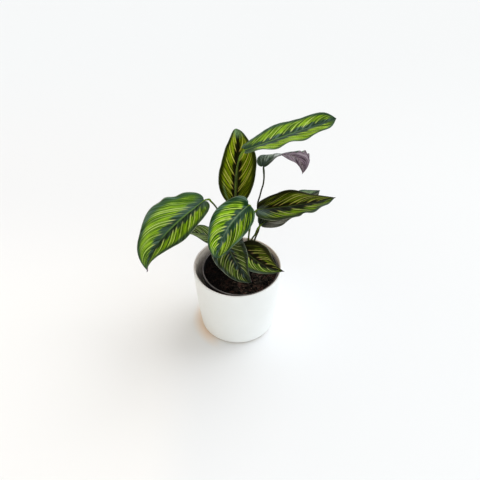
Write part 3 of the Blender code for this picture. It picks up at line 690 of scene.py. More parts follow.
def glaze_material():
    """White satin glaze with faint clouds, the slightest unevenness and painted warm shade inside.
    """
    made, m, shader = new_material("white_glaze")
    spot = m.spot()
    clouds = m.noise(spot, 14.0, 3.0, 0.55)
    specks = m.noise(spot, 420.0, 2.0, 0.5)
    colour = m.mix(m.ramp(clouds, 0.3, 0.7), paint((243, 246, 244)), paint((247, 250, 248)))
    # Inside the wall the glaze is painted warmer and a little darker: painted warm shade.
    x, y, height = m.parts(spot)
    slant = (COVER_RIM_RADIUS - COVER_BASE_RADIUS) / COVER_HEIGHT
    depth = COVER_BASE_RADIUS * MM + slant * height - m.vectors("LENGTH", m.xyz(x, y))
    colour = m.mix(m.ramp(depth, 0.001, 0.0025), colour, paint((246, 237, 222)))
    colour = m.mix(0.25 * m.ramp(specks, 0.68, 0.76), colour, paint((222, 220, 214)))
    wire(m, shader, Base_Color=colour, Roughness=m.ramp(clouds, 0.25, 0.75, 0.3, 0.42),
         Normal=bump(m, clouds + 0.12 * specks, 0.0004, 0.25), Specular_IOR_Level=0.3)
    return made


def plastic_material():
    """Dull black moulded plastic with fine grain, a little dust and a painted highlight on the
    rim.
    """
    made, m, shader = new_material("black_plastic")
    spot = m.spot()
    grain = m.noise(spot, 1600.0, 2.0, 0.5)
    dust = m.noise(spot, 60.0, 4.0, 0.6)
    colour = m.mix(m.ramp(dust, 0.45, 0.75), paint((20, 19, 20)), paint((54, 51, 49)))
    _, _, height = m.parts(spot)
    # A pale line along the top of the rim is a painted highlight, varied by the dust noise.
    lip = m.ramp(height, (GROW_TOP - 0.9) * MM, (GROW_TOP - 0.2) * MM)
    colour = m.mix(lip * m.ramp(dust, 0.35, 0.65, 0.5, 0.9), colour, paint((128, 124, 120)))
    wire(m, shader, Base_Color=colour, Roughness=m.ramp(dust, 0.35, 0.7, 0.4, 0.62),
         Normal=bump(m, grain, 0.0001, 0.5), Specular_IOR_Level=0.3)
    return made


def soil_material():
    """Moist peat: near-black with brown and a few pale crumbs, and painted shade on the left."""
    made, m, shader = new_material("moist_peat")
    spot = m.spot()
    lumps = m.noise(spot, 240.0, 4.0, 0.65)

    def cells(scale):
        """Numbers that jump from one crumb to the next."""
        sockets = {"Vector": spot, "Scale": scale}
        return m.parts(m.add("ShaderNodeTexVoronoi", {"feature": "F1"}, sockets, "Color"))

    pale, grey, _ = cells(520.0)
    tone, _, _ = cells(260.0)
    patch = m.noise(spot, 70.0, 2.0)
    colour = m.mix(m.ramp(lumps, 0.42, 0.66), paint((1, 1, 1)), paint((62, 55, 47)))
    colour = m.mix(0.9 * m.ramp(patch + 0.5 * (tone - 0.5), 0.56, 0.8), colour,
                   paint((78, 54, 46)))
    colour = m.mix(0.7 * m.ramp(pale, 0.93, 0.96), colour, paint((104, 84, 70)))
    colour = m.mix(0.6 * m.ramp(grey, 0.985, 0.995), colour, paint((112, 106, 94)))
    # Darker on the left: painted shadow of the leaves above.
    x, _, _ = m.parts(spot)
    painted_shade_left = m.ramp(x + 0.03 * (patch - 0.5), 0.012, -0.028)
    colour = m.mix(0.8 * painted_shade_left, colour, paint((3, 2, 2)))
    wire(m, shader, Base_Color=colour, Roughness=m.ramp(lumps, 0.3, 0.7, 0.7, 0.95),
         Normal=bump(m, lumps, 0.0015, 0.7), Specular_IOR_Level=0.05)
    return made


def fibre_material():
    """Brown peat fibre."""
    made, m, shader = new_material("peat_fibre")
    spot = m.spot()
    tone = m.noise(spot, 180.0, 2.0)
    colour = m.mix(m.ramp(tone, 0.4, 0.6), paint((44, 28, 22)), paint((86, 62, 48)))
    wire(m, shader, Base_Color=colour, Roughness=m.ramp(tone, 0.3, 0.7, 0.75, 0.9),
         Specular_IOR_Level=0.25)
    return made


def floor_material():
    """Pale matt surface with the faintest clouds, soft gradients of painted light and a painted
    warm glow at the pot's left foot.
    """
    made, m, shader = new_material("pale_floor")
    spot = m.spot()
    clouds = m.noise(spot, 1.3, 2.0)
    x, y, _ = m.parts(spot)
    # Painted light: a little lighter towards the right, and a little darker far back.
    right = m.ramp(x - 0.3 * y + 0.2 * clouds, -0.6, 0.7)
    colour = m.mix(right, paint((239, 240, 241)), paint((241, 244, 246)))
    colour = m.mix(m.ramp(y, 0.3, 0.9), colour, paint((237, 240, 242)))
    # Painted light near the front left, lightening the shade that falls there.
    painted_light_near_left = m.ramp(x, -0.04, -0.14) * m.ramp(y, 0.35, 0.0)
    colour = m.mix(painted_light_near_left, colour, paint((247, 247, 246)))
    # A painted warm glow of bounced light at the pot's left foot.
    from_pot = m.vectors("LENGTH", m.xyz(x, y))
    painted_warm_glow = m.ramp(from_pot, 0.076, 0.056) * m.ramp(x, -0.022, -0.052)
    colour = m.mix(0.7 * painted_warm_glow, colour, paint((248, 222, 196)))
    wire(m, shader, Base_Color=colour, Roughness=0.85, Specular_IOR_Level=0.1)
    return made


# Geometry node trees

def new_tree(name, inputs):
    """A geometry node tree with named inputs. Gives it, its maker and its inputs by name."""
    tree = bpy.data.node_groups.new(name, "GeometryNodeTree")
    for title, kind in inputs.items():
        tree.interface.new_socket(title, in_out="INPUT", socket_type="NodeSocket" + kind)
    tree.interface.new_socket("Geometry", in_out="OUTPUT", socket_type="NodeSocketGeometry")
    maker = Maker(tree)
    entry = maker.add("NodeGroupInput").socket.node
    return tree, maker, {title: Flow(maker, entry.outputs[title]) for title in inputs}


def end_tree(tree, maker, geometry):
    """Smooth shading, real copies in place of instances, and the way to the output."""
    smooth = maker.add("GeometryNodeSetShadeSmooth", None, {"Geometry": geometry})
    solid = maker.add("GeometryNodeRealizeInstances", None, {"Geometry": smooth})
    maker.feed(tree.nodes.new("NodeGroupOutput").inputs[0], solid)


def keep(maker, geometry, name, value, domain="POINT", kind="FLOAT"):
    """Store a field on the geometry as a named attribute."""
    return maker.add("GeometryNodeStoreNamedAttribute", {"data_type": kind, "domain": domain}, {
        "Geometry": geometry, "Name": name, "Value": value})


def kept(maker, name):
    return maker.add("GeometryNodeInputNamedAttribute", {"data_type": "FLOAT"}, {"Name": name})


def moved(maker, geometry, **places):
    """Geometry with its points at a Position or moved by an Offset."""
    return maker.add("GeometryNodeSetPosition", None, {"Geometry": geometry, **places})


def coated(maker, geometry, look):
    return maker.add("GeometryNodeSetMaterial", None, {"Geometry": geometry, "Material": look})


def tube(maker, line, sides, radius, **sockets):
    """A round tube along a line, closed at both ends."""
    ring = maker.add("GeometryNodeCurvePrimitiveCircle", None, {
        "Resolution": sides, "Radius": radius})
    return maker.add("GeometryNodeCurveToMesh", None, {
        "Curve": line, "Profile Curve": ring, "Fill Caps": True, **sockets})


def joined(maker, *geometries):
    node = maker.tree.nodes.new("GeometryNodeJoinGeometry")
    for geometry in reversed(geometries):
        maker.feed(node.inputs[0], geometry)
    return Flow(maker, node.outputs[0])


def input_name(key):
    """The name of a tree's input for a setting or a marking."""
    return key.replace("_", " ").capitalize()


def values_of(holder, keys):
    """Values for a tree's inputs from the settings of the same names."""
    return {input_name(key): getattr(holder, key) for key in keys}


# The settings that become inputs of the leaf tree: angles and numbers of one leaf, what all
# leaves share, and the markings that bend the pleats.
LEAF_ANGLES = ("heading", "rise", "droop", "hook", "swing", "roll", "twist", "fold", "curl")
LEAF_NUMBERS = (
    "length", "right_width", "left_width", "right_wave", "left_wave", "right_phase",
    "left_phase", "right_waves", "left_waves", "fullest", "shoulder", "drip", "crimp",
    "crimp_waves", "crimp_phase", "crimp_place", "crimp_spread", "seed")
BLADE_NUMBERS = ("thickness", "rib_height", "pleats", "pleat_height", "ruffle")
BLADE_COUNTS = ("rows", "columns", "stalk_sides")
VEIN_NUMBERS = ("right_slope", "left_slope", "right_bend", "left_bend")
LEAF_FLOATS = LEAF_ANGLES + LEAF_NUMBERS + BLADE_NUMBERS + VEIN_NUMBERS
LEAF_INPUTS = {
    "Stalk line": "Geometry", "Base": "Vector",
    **{input_name(key): "Float" for key in LEAF_FLOATS},
    **{input_name(key): "Int" for key in BLADE_COUNTS},
    "Blade material": "Material", "Stalk material": "Material",
}

# Where the blade's rows start and end and over what stretch it thins there, as shares of its
# length, and the lobes at its base. Below them, in metres, the midrib's reach, the groove above
# it, the blade's ripples, and how close the points of both sides are when they become one.
BLADE_START = 0.006
BLADE_END = 0.997
END_TAPER = 0.006
LOBE_LENGTH = 0.35
LOBE_BACK = 0.35
RIB_SPREAD = 0.0011
RIB_GROOVE = 0.00018
RIPPLE = 0.0022
BLADE_MERGE = 0.000004


def leaf_tree():
    """A leaf: the blade as a rule on a flat grid, and the stalk swept along its line."""
    tree, m, given = new_tree("Calathea leaf", LEAF_INPUTS)
    length = given["Length"]
    grid = m.add("GeometryNodeMeshGrid", None, {
        "Size X": 1.0, "Size Y": 2.0, "Vertices X": given["Rows"],
        "Vertices Y": given["Columns"]})
    x, y, _ = m.parts(m.add("GeometryNodeInputPosition"))
    even = x + 0.5
    step = 1.0 / (given["Rows"] - 1.0)

    def share_at(value):
        """Share of the length at an even step, with closer rows at both ends."""
        eased = 0.5 - 0.5 * m.math("COSINE", value * math.pi)
        return BLADE_START + (BLADE_END - BLADE_START) * (0.5 * value + 0.5 * eased)

    share = share_at(even)
    before = share_at(even - step) * m.math("GREATER_THAN", even, step * 0.5)
    side = -y
    out = abs(side) ** 1.4
    is_right = m.math("GREATER_THAN", side, 0.0)
    across = out * m.math("SIGN", side)

    def direction(at):
        """Direction of the midrib and the level way to its right."""
        pitch = given["Rise"] - given["Droop"] * at - given["Hook"] * at * at * at
        turn = given["Heading"] + given["Swing"] * at
        flat = m.math("COSINE", pitch)
        cosine, sine = m.math("COSINE", turn), m.math("SINE", turn)
        return m.xyz(flat * cosine, flat * sine, m.math("SINE", pitch)), m.xyz(sine, -cosine)

    stride = direction((share + before) * 0.5)[0] * ((share - before) * length)
    column = m.math("FLOORED_MODULO", m.add("GeometryNodeInputIndex"), given["Columns"])
    walked = m.add("GeometryNodeAccumulateField", {"data_type": "FLOAT_VECTOR"}, {
        "Value": stride, "Group ID": column}, "Leading")
    forward, level = direction(share)
    upright = m.vectors("CROSS_PRODUCT", level, forward)
    roll = given["Roll"] + given["Twist"] * share
    to_right = level * m.math("COSINE", roll) + upright * m.math("SINE", roll)
    above = upright * m.math("COSINE", roll) - level * m.math("SINE", roll)

    full, shoulder = given["Fullest"], given["Shoulder"]
    taper = shoulder * (1.0 - full) / full
    peak = (full ** shoulder) * ((1.0 - full) ** taper)
    tip = 1.0 - m.math("EXPONENT", -((1.0 - share) / given["Drip"]))
    outline = (share ** shoulder) * ((1.0 - share) ** taper) * tip / peak

    def by_side(key):
        """The right or the left half's value."""
        left_value = given["Left " + key]
        return left_value + (given["Right " + key] - left_value) * is_right

    half = by_side("width") * outline
    fold = given["Fold"] + given["Curl"] * out * 0.5
    wave = by_side("wave") * outline * out * out * m.math(
        "SINE", (by_side("waves") * share + by_side("phase")) * 2 * math.pi)
    ruffle = m.noise(m.xyz(share * 7.0, is_right * 4.0, given["Seed"]), 1.0, 1.0) - 0.5
    wave = wave + given["Ruffle"] * ruffle * outline * out ** 3.0
    crimp = given["Crimp"] * m.math(
        "SINE", (given["Crimp waves"] * share + given["Crimp phase"]) * 2 * math.pi)
    beside = (share - given["Crimp place"]) / given["Crimp spread"]
    wave = wave + crimp * m.math("EXPONENT", -(beside * beside)) * is_right * out ** 3.0
    lift = half * out * m.math("SINE", fold) + wave
    aside = half * across * m.math("COSINE", fold)
    lobe = m.math("MAXIMUM", 1.0 - share / LOBE_LENGTH, 0.0)
    back = LOBE_BACK * half * out * out * lobe * lobe
    surface = given["Base"] + walked + to_right * aside + above * lift - forward * back

    from_rib = half * out
    sweep = by_side("slope") * out + by_side("bend") * (out * out - out)
    sheet = keep(m, grid, "along", share)
    sheet = keep(m, sheet, "across", across)
    sheet = keep(m, sheet, "from_rib", from_rib)
    sheet = keep(m, sheet, "vein", share - sweep)
    sheet = moved(m, sheet, Position=surface)

    along, across, from_rib = kept(m, "along"), kept(m, "across"), kept(m, "from_rib")
    reach = abs(across)
    tips = m.math("MINIMUM", (along - BLADE_START) / END_TAPER, 1.0) * m.math(
        "MINIMUM", (BLADE_END - along) / END_TAPER, 1.0)
    rim = ((1.0 - reach ** 12.0) * m.math("MAXIMUM", tips, 0.0)) ** 0.5
    near = m.math("EXPONENT", -(from_rib * from_rib) / (RIB_SPREAD * RIB_SPREAD))
    pleat = m.math("COSINE", kept(m, "vein") * given["Pleats"] * (2 * math.pi))
    pleat = pleat * (1.0 - reach ** 4.0) * m.ramp(reach, 0.03, 0.3) * given["Pleat height"]
    spot = m.add("GeometryNodeInputPosition")
    ripple = (m.noise(spot + given["Seed"], 45.0, 2.0) - 0.5) * RIPPLE * reach * reach
    ripple = ripple * m.ramp(along, 0.02, 0.15) * (1.0 - m.ramp(along, 0.85, 0.98))
    bend = pleat + ripple
    normal = m.add("GeometryNodeInputNormal")
    thick = given["Thickness"] * 0.5 * rim
    ridge = given["Rib height"] * near * ((1.0 - along) ** 0.7) * rim
    upper = moved(m, sheet, Offset=normal * (thick + bend - near * RIB_GROOVE))
    lower = moved(m, sheet, Offset=normal * (bend - thick - ridge))
    upper = keep(m, upper, "side", 1.0, "FACE")
    lower = keep(m, m.add("GeometryNodeFlipFaces", None, {"Mesh": lower}), "side", -1.0, "FACE")
    blade = m.add("GeometryNodeMergeByDistance", None, {
        "Geometry": joined(m, upper, lower), "Distance": BLADE_MERGE})
    blade = keep(m, blade, "leaf_map", m.xyz(kept(m, "along"), kept(m, "across") * 0.5 + 0.5),
                 "CORNER", "FLOAT2")
    blade = coated(m, blade, given["Blade material"])

    line = m.add("GeometryNodeMeshToCurve", None, {"Mesh": given["Stalk line"]})
    line = keep(m, line, "way", m.add("GeometryNodeSplineParameter"))
    stalk = tube(m, line, given["Stalk sides"], 1.0, Scale=kept(m, "girth"))
    stalk = coated(m, stalk, given["Stalk material"])
    end_tree(tree, m, joined(m, blade, stalk))
    return tree


SOIL_NUMBERS = ("lump_height", "crumbs", "crumb_size", "fibres", "seed")
SOIL_INPUTS = {
    "Start": "Geometry", "Centre": "Vector", "Radius": "Float", "Top": "Float",
    "Bottom": "Float", "Foot radius": "Float", "Lump height": "Float", "Crumbs": "Float",
    "Crumb size": "Float", "Fibres": "Float", "Seed": "Int", "Soil material": "Material",
    "Fibre material": "Material",
}

# Rings and steps of the soil, the shares of the rings at which its top ends and its side starts
# and ends, how close points are when they become one, in metres, and the least and greatest turn
# and stretch of a crumb or fibre.
SOIL_RINGS = 132
SOIL_STEPS = 220
SOIL_TOP_END = 0.72
SOIL_SIDE = (0.74, 0.92)
SOIL_MERGE = 0.00001
STREWN_TURN = ((0.0, 0.0, 0.0), (6.28, 6.28, 6.28))
STREWN_STRETCH = ((0.7, 0.6, 0.5), (1.3, 1.0, 0.9))


def soil_tree():
    """Soil: a lumpy top on a tapered ball, strewn with crumbs and fibres."""
    tree, m, given = new_tree("Potting soil", SOIL_INPUTS)
    grid = m.add("GeometryNodeMeshGrid", None, {
        "Size X": 1.0, "Size Y": 1.0, "Vertices X": SOIL_RINGS, "Vertices Y": SOIL_STEPS + 1})
    x, y, _ = m.parts(m.add("GeometryNodeInputPosition"))
    way = x + 0.5
    turn = -y * 2 * math.pi
    top_share = m.math("MINIMUM", way / SOIL_TOP_END, 1.0)
    side_share = m.ramp_line(way, *SOIL_SIDE)
    foot_share = m.ramp_line(way, SOIL_SIDE[1], 1.0)
    radius = given["Radius"] * top_share
    radius = radius - (given["Radius"] - given["Foot radius"]) * side_share
    radius = radius * (1.0 - foot_share)
    height = given["Top"] - (given["Top"] - given["Bottom"]) * side_share
    flat = m.xyz(radius * m.math("COSINE", turn), radius * m.math("SINE", turn), height)
    is_top = 1.0 - m.ramp(way, SOIL_TOP_END - 0.03, SOIL_TOP_END)
    big = m.noise(flat, 55.0, 2.0) - 0.5
    small = m.noise(flat, 210.0, 4.0, 0.62) - 0.5
    lift = (big * 1.5 + small * 1.3) * given["Lump height"] * is_top
    body = keep(m, grid, "top", is_top)
    body = moved(m, body, Position=flat + m.xyz(0.0, 0.0, lift) + given["Centre"])
    body = m.add("GeometryNodeMergeByDistance", None, {
        "Geometry": body, "Distance": SOIL_MERGE})
    body = coated(m, body, given["Soil material"])

    def random_vector(limits, seed):
        return m.add("FunctionNodeRandomValue", {"data_type": "FLOAT_VECTOR"}, {
            "Min": limits[0], "Max": limits[1], "Seed": seed})

    def strewn(shape, density, seed, small_size, large_size, lift_by):
        """Copies of a shape, turned and sized at random, over the top of the soil."""
        spread = m.add("GeometryNodeDistributePointsOnFaces", {"distribute_method": "RANDOM"}, {
            "Mesh": body, "Selection": m.math("GREATER_THAN", kept(m, "top"), 0.99),
            "Density": density, "Seed": seed})
        share = m.add("FunctionNodeRandomValue", {"data_type": "FLOAT"}, {
            2: 0.0, 3: 1.0, "Seed": seed + 3.0}, 1)
        size = given["Crumb size"] * (small_size + (large_size - small_size) * share * share)
        return m.add("GeometryNodeInstanceOnPoints", None, {
            "Points": moved(m, spread, Offset=(0.0, 0.0, lift_by)), "Instance": shape,
            "Rotation": random_vector(STREWN_TURN, seed),
            "Scale": random_vector(STREWN_STRETCH, seed + 5.0) * size})

    ball = m.add("GeometryNodeMeshUVSphere", None, {"Radius": 1.0, "Segments": 7, "Rings": 5})
    spot = m.add("GeometryNodeInputPosition")
    ball = moved(m, ball, Offset=spot * ((m.noise(spot, 1.7, 2.0) - 0.5) * 1.2))
    ball = coated(m, ball, given["Soil material"])
    bow = m.add("GeometryNodeCurvePrimitiveBezierSegment", None, {
        "Resolution": 6, "Start": (-2.6, 0.0, 0.0), "Start Handle": (-1.2, 0.9, 0.3),
        "End Handle": (1.0, -0.8, -0.2), "End": (2.6, 0.3, 0.4)})
    fibre = coated(m, tube(m, bow, 5, 0.13), given["Fibre material"])
    crumbs = strewn(ball, given["Crumbs"], given["Seed"], 0.35, 1.5, 0.0001)
    fibres = strewn(fibre, given["Fibres"], given["Seed"] + 11.0, 0.5, 1.3, 0.0007)
    end_tree(tree, m, joined(m, body, crumbs, fibres))
    return tree


# Shared making

def placed(name, data):
    """A new object of the scene that shows this data."""
    made = bpy.data.objects.new(name, data)
    bpy.context.scene.collection.objects.link(made)
    return made


def finished(host):
    """The plain mesh of an object with its modifiers. The object itself is removed."""
    bpy.context.view_layer.update()
    name = host.name
    solid = host.evaluated_get(bpy.context.evaluated_depsgraph_get())
    mesh = bpy.data.meshes.new_from_object(solid)
    bpy.data.objects.remove(host, do_unlink=True)
    if not len(mesh.polygons):
        raise RuntimeError(name + " came out empty")
    mesh.name = name
    return mesh


def as_mesh(name, start, tree, values):
    """The plain mesh that a geometry node tree makes of a start mesh with these inputs."""
    host = placed(name, start)
    modifier = host.modifiers.new("Build", "NODES")
    modifier.node_group = tree
    for item in tree.interface.items_tree:
        if item.in_out == "INPUT" and item.name in values:
            modifier[item.identifier] = values[item.name]
    return finished(host)


def drawn(name, shape):
    """The mesh of a bmesh, which is freed."""
    mesh = bpy.data.meshes.new(name)
    shape.to_mesh(mesh)
    shape.free()
    return mesh


def piece(name, mesh, node):
    """Add a finished piece that stands for one solid of the frame and rides on its body."""
    made = placed(name, mesh)
    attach(made, "root")
    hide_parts(node)


def smooth_path(points, samples=12):
    """A dense smooth line through the points (a centripetal Catmull-Rom spline)."""
    points = [np.array(point, float) for point in points]
    points = [2 * points[0] - points[1]] + points + [2 * points[-1] - points[-2]]
    line = []
    for p0, p1, p2, p3 in zip(points, points[1:], points[2:], points[3:]):
        t0 = 0.0
        t1 = t0 + math.sqrt(np.linalg.norm(p1 - p0))
        t2 = t1 + math.sqrt(np.linalg.norm(p2 - p1))
        t3 = t2 + math.sqrt(np.linalg.norm(p3 - p2))
        for t in np.linspace(t1, t2, samples, endpoint=False):
            a1 = (t1 - t) / (t1 - t0) * p0 + (t - t0) / (t1 - t0) * p1
            a2 = (t2 - t) / (t2 - t1) * p1 + (t - t1) / (t2 - t1) * p2
            a3 = (t3 - t) / (t3 - t2) * p2 + (t - t2) / (t3 - t2) * p3
            b1 = (t2 - t) / (t2 - t0) * a1 + (t - t0) / (t2 - t0) * a2
            b2 = (t3 - t) / (t3 - t1) * a2 + (t - t1) / (t3 - t1) * a3
            line.append((t2 - t) / (t2 - t1) * b1 + (t - t1) / (t2 - t1) * b2)
    line.append(points[-2])
    return np.array(line)


def midrib_start(leaf, share):
    """A point of the midrib near the blade's base, with its direction and the way up."""
    steps = 40
    point = np.array(leaf.base) / MM
    for step in range(steps + 1):
        at = share * (step + 0.5) / steps if step < steps else share
        pitch = leaf.rise - leaf.droop * at - leaf.hook * at ** 3
        turn = leaf.heading + leaf.swing * at
        along = np.array([math.cos(pitch) * math.cos(turn), math.cos(pitch) * math.sin(turn),
                          math.sin(pitch)])
        if step < steps:
            point = point + along * (leaf.length / MM) * share / steps
    level = np.array([math.sin(turn), -math.cos(turn), 0.0])
    roll = leaf.roll + leaf.twist * share
    above = np.cross(level, along) * math.cos(roll) - level * math.sin(roll)
    return point, along, above


def stalk_line(leaf, settings):
    """The stalk's centre line as a mesh of edges, with its girth on each point."""
    sizes = LEAVES[leaf.title]
    x, y = leaf.root[0] / MM, leaf.root[1] / MM
    start, along, above = midrib_start(leaf, 0.0)
    base = start - STALK_SINK * above
    arrival = base - np.array(sizes["via"][-1])
    arrival /= np.linalg.norm(arrival)
    knee = arrival + sizes.get("lean", KNEE_LEAN) * along
    knee = base - KNEE_LENGTH * knee / np.linalg.norm(knee)
    points = [(x, y, SOIL_TOP + rise) for rise in (-STALK_DEPTH, *STALK_STRAIGHT)]
    points += [*sizes["via"], knee, base]
    for share in RIB_SHARES:
        point, _, above = midrib_start(leaf, share)
        points.append(point - RIB_SINK * above)
    line = smooth_path(points)
    walked = np.concatenate([[0.0], np.cumsum(np.linalg.norm(np.diff(line, axis=0), axis=1))])
    left = walked[-1] - walked
    end = RIB_SHARES[-1] * leaf.length / MM
    plain, sheath = settings.stalk_radius, settings.sheath_radius
    swell = np.exp(-((left - end - KNEE_LENGTH) / KNEE_REACH) ** 2)
    girth = plain + (sheath - plain) * np.clip(1 - (walked - STALK_DEPTH) / SHEATH_HEIGHT, 0, 1)
    girth = girth * (1 + KNEE_SWELL * swell)
    rib_end = RIB_END_RADIUS * MM
    girth = np.where(left < end, rib_end + (girth - rib_end) * left / end, girth)
    mesh = bpy.data.meshes.new("stalk_line")
    count = len(line)
    mesh.from_pydata(line * MM, [(i, i + 1) for i in range(count - 1)], [])
    mesh.attributes.new("girth", "FLOAT", "POINT").data.foreach_set("value", girth)
    return mesh


def turned(name, profile, segments, look, centre=(0.0, 0.0)):
    """A closed body turned from a profile of (radius, height) pairs that ends on the axis."""
    shape = bmesh.new()
    points = [shape.verts.new((radius * MM, 0.0, height * MM)) for radius, height in profile]
    edges = [shape.edges.new(pair) for pair in zip(points[:-1], points[1:])]
    bmesh.ops.spin(shape, geom=points + edges, cent=(0, 0, 0), axis=(0, 0, 1),
                   angle=2 * math.pi, steps=segments, use_merge=True)
    bmesh.ops.remove_doubles(shape, verts=shape.verts, dist=1e-7)
    bmesh.ops.recalc_face_normals(shape, faces=shape.faces)
    bmesh.ops.translate(shape, verts=shape.verts, vec=(centre[0] * MM, centre[1] * MM, 0))
    mesh = drawn(name, shape)
    mesh.shade_smooth()
    mesh.set_sharp_from_angle(angle=math.radians(SHARP_ANGLE))
    mesh.materials.append(look)
    return mesh


def rounded(corners, steps=5):
    """A profile whose inner corners (radius, height, rounding) become small arcs."""
    profile = [corners[0][:2]]
    for before, corner, after in zip(corners, corners[1:], corners[2:]):
        here = np.array(corner[:2])
        if not corner[2]:
            profile.append(tuple(here))
            continue
        to_before, to_after = np.array(before[:2]) - here, np.array(after[:2]) - here
        reach = min(corner[2], 0.45 * np.linalg.norm(to_before),
                    0.45 * np.linalg.norm(to_after))
        start = here + to_before / np.linalg.norm(to_before) * reach
        end = here + to_after / np.linalg.norm(to_after) * reach
        for t in np.linspace(0, 1, steps):
            profile.append(tuple((1 - t) ** 2 * start + 2 * t * (1 - t) * here + t * t * end))
    profile.append(corners[-1][:2])
    return profile


# Outlines of the pots

def cover_wall(height):
    """Outer radius of the cover pot's gently bulged wall."""
    share = height / COVER_HEIGHT
    straight = COVER_BASE_RADIUS + (COVER_RIM_RADIUS - COVER_BASE_RADIUS) * share
    return straight + 4 * COVER_BULGE * share * (1 - share)


def cover_profile():
    """The cover pot's outline: foot, outer wall, lip, inner wall and floor."""
    foot, edge = cover_wall(COVER_EDGE_HEIGHT), COVER_EDGE_HEIGHT
    lip, hollow = COVER_HEIGHT - COVER_LIP_ROUND, COVER_FLOOR + COVER_INNER_ROUND
    profile = [(0.0, 0.0)]
    for turn in np.linspace(0, math.pi / 2, 13):
        profile.append((foot - COVER_EDGE_REACH * (1 - math.sin(turn)),
                        edge * (1 - math.cos(turn))))
    profile += [(cover_wall(height), height) for height in np.linspace(edge, lip, 14)[1:]]
    for turn in np.linspace(0, math.pi, 13)[1:-1]:
        profile.append((COVER_RIM_RADIUS - COVER_LIP_ROUND * (1 - math.cos(turn)),
                        lip + COVER_LIP_ROUND * math.sin(turn)))
    for height in np.linspace(lip, hollow, 12)[:-1]:
        share = (lip - height) / (lip - hollow)
        wall = COVER_LIP + (COVER_WALL_LOW - COVER_LIP) * share
        profile.append((cover_wall(height) - wall, height))
    inner = cover_wall(hollow) - COVER_WALL_LOW
    for turn in np.linspace(0, math.pi / 2, 9):
        profile.append((inner - COVER_INNER_ROUND * (1 - math.cos(turn)),
                        hollow - COVER_INNER_ROUND * math.sin(turn)))
    return profile + [(0.0, COVER_FLOOR)]


def grow_wall(height):
    """Outer radius of the grow pot's wall, below its collar."""
    share = (height - GROW_BOTTOM) / (GROW_TOP - GROW_COLLAR - GROW_BOTTOM)
    return GROW_BASE_RADIUS + (GROW_RIM_RADIUS - GROW_COLLAR_STEP - GROW_BASE_RADIUS) * share


def grow_profile():
    """Corners of the grow pot's outline, each a radius, a height and a rounding."""
    collar, raised = GROW_TOP - GROW_COLLAR, GROW_BOTTOM + GROW_FLOOR_RAISE
    floor, rim = raised + GROW_FLOOR, GROW_RIM_RADIUS
    inner_rim = rim - GROW_COLLAR_WALL
    dome, foot_in, foot_out = GROW_FOOT_RADII
    return [
        (0.0, raised, 0), (dome, raised, 1.0), (foot_in, GROW_BOTTOM, 0.6),
        (foot_out, GROW_BOTTOM, 1.0), (grow_wall(raised), raised, 1.0),
        (grow_wall(collar), collar, 0.5),
        (rim - GROW_COLLAR_DRAFT, collar + GROW_COLLAR_RAMP, 0.6),
        (rim, GROW_TOP, 0.5), (inner_rim, GROW_TOP, 0.5),
        (inner_rim - GROW_COLLAR_DRAFT, collar + GROW_WALL, 0.5),
        (grow_wall(collar) - GROW_WALL, collar - GROW_COLLAR_RAMP, 0.4),
        (grow_wall(floor) - GROW_WALL, floor, 2.0), (0.0, floor, 0),
    ]


def drain_drills():
    """Rods that cut the drain holes: a ring of them and one in the middle."""
    shape = bmesh.new()
    for hole in range(DRAIN_HOLES + 1):
        turn = 2 * math.pi * hole / DRAIN_HOLES
        circle = DRAIN_CIRCLE if hole < DRAIN_HOLES else 0.0
        made = bmesh.ops.create_cone(
            shape, cap_ends=True, segments=DRAIN_SIDES, radius1=DRAIN_RADIUS * MM,
            radius2=DRAIN_RADIUS * MM, depth=DRAIN_TOOL * MM)
        bmesh.ops.translate(shape, verts=made["verts"], vec=(
            (GROW_CENTRE[0] + circle * math.cos(turn)) * MM,
            (GROW_CENTRE[1] + circle * math.sin(turn)) * MM, GROW_BOTTOM * MM))
    return drawn("drain_holes", shape)


# Settings

def length_property(title, text, default):
    return FloatProperty(name=title, description=text, default=default, unit="LENGTH")


def angle_property(title, text):
    return FloatProperty(name=title, description=text, default=0.0, subtype="ANGLE")


def number_property(title, text, default=0.0):
    return FloatProperty(name=title, description=text, default=default)


def colour_property(title, text):
    return FloatVectorProperty(
        name=title, description=text, default=(0.1, 0.2, 0.05), subtype="COLOR", size=3,
        min=0.0, max=1.0)


class CALATHEA_paint(bpy.types.PropertyGroup):
    """Colours of one half of a leaf."""
    band: colour_property("Light Zone", "Colour of the light zone")
    streak: colour_property("Light Streaks", "Lighter streaks of the light zone")
    between: colour_property("Dark Streaks", "Darker streaks of the light zone")
    stripe: colour_property("Stripes", "Thin stripes along the side veins")
    blush: colour_property("Stripe Ends", "Inner ends of the stripes")
    middle: colour_property("Middle", "Dark feathered centre")
    shade: colour_property("Shade", "Darkest streaks of the middle and margin")
    # Colour of the painted sheen streaked over the middle and the margin.
    gleam: colour_property("Gleam", "Pale streaks of the middle and margin")
    rib: colour_property("Midrib", "Upper side of the midrib near the base")
    margin: colour_property("Margin", "Edge of the blade")
    # Colour of the painted sheen: pale painted reflections on the blade.
    bloom: colour_property("Bloom", "Pale sheen")
    under: colour_property("Underside", "Underside of the blade")
    # Colour of the painted shade in the underside's folds.
    crease: colour_property("Underside Creases", "Darker streaks of the underside")


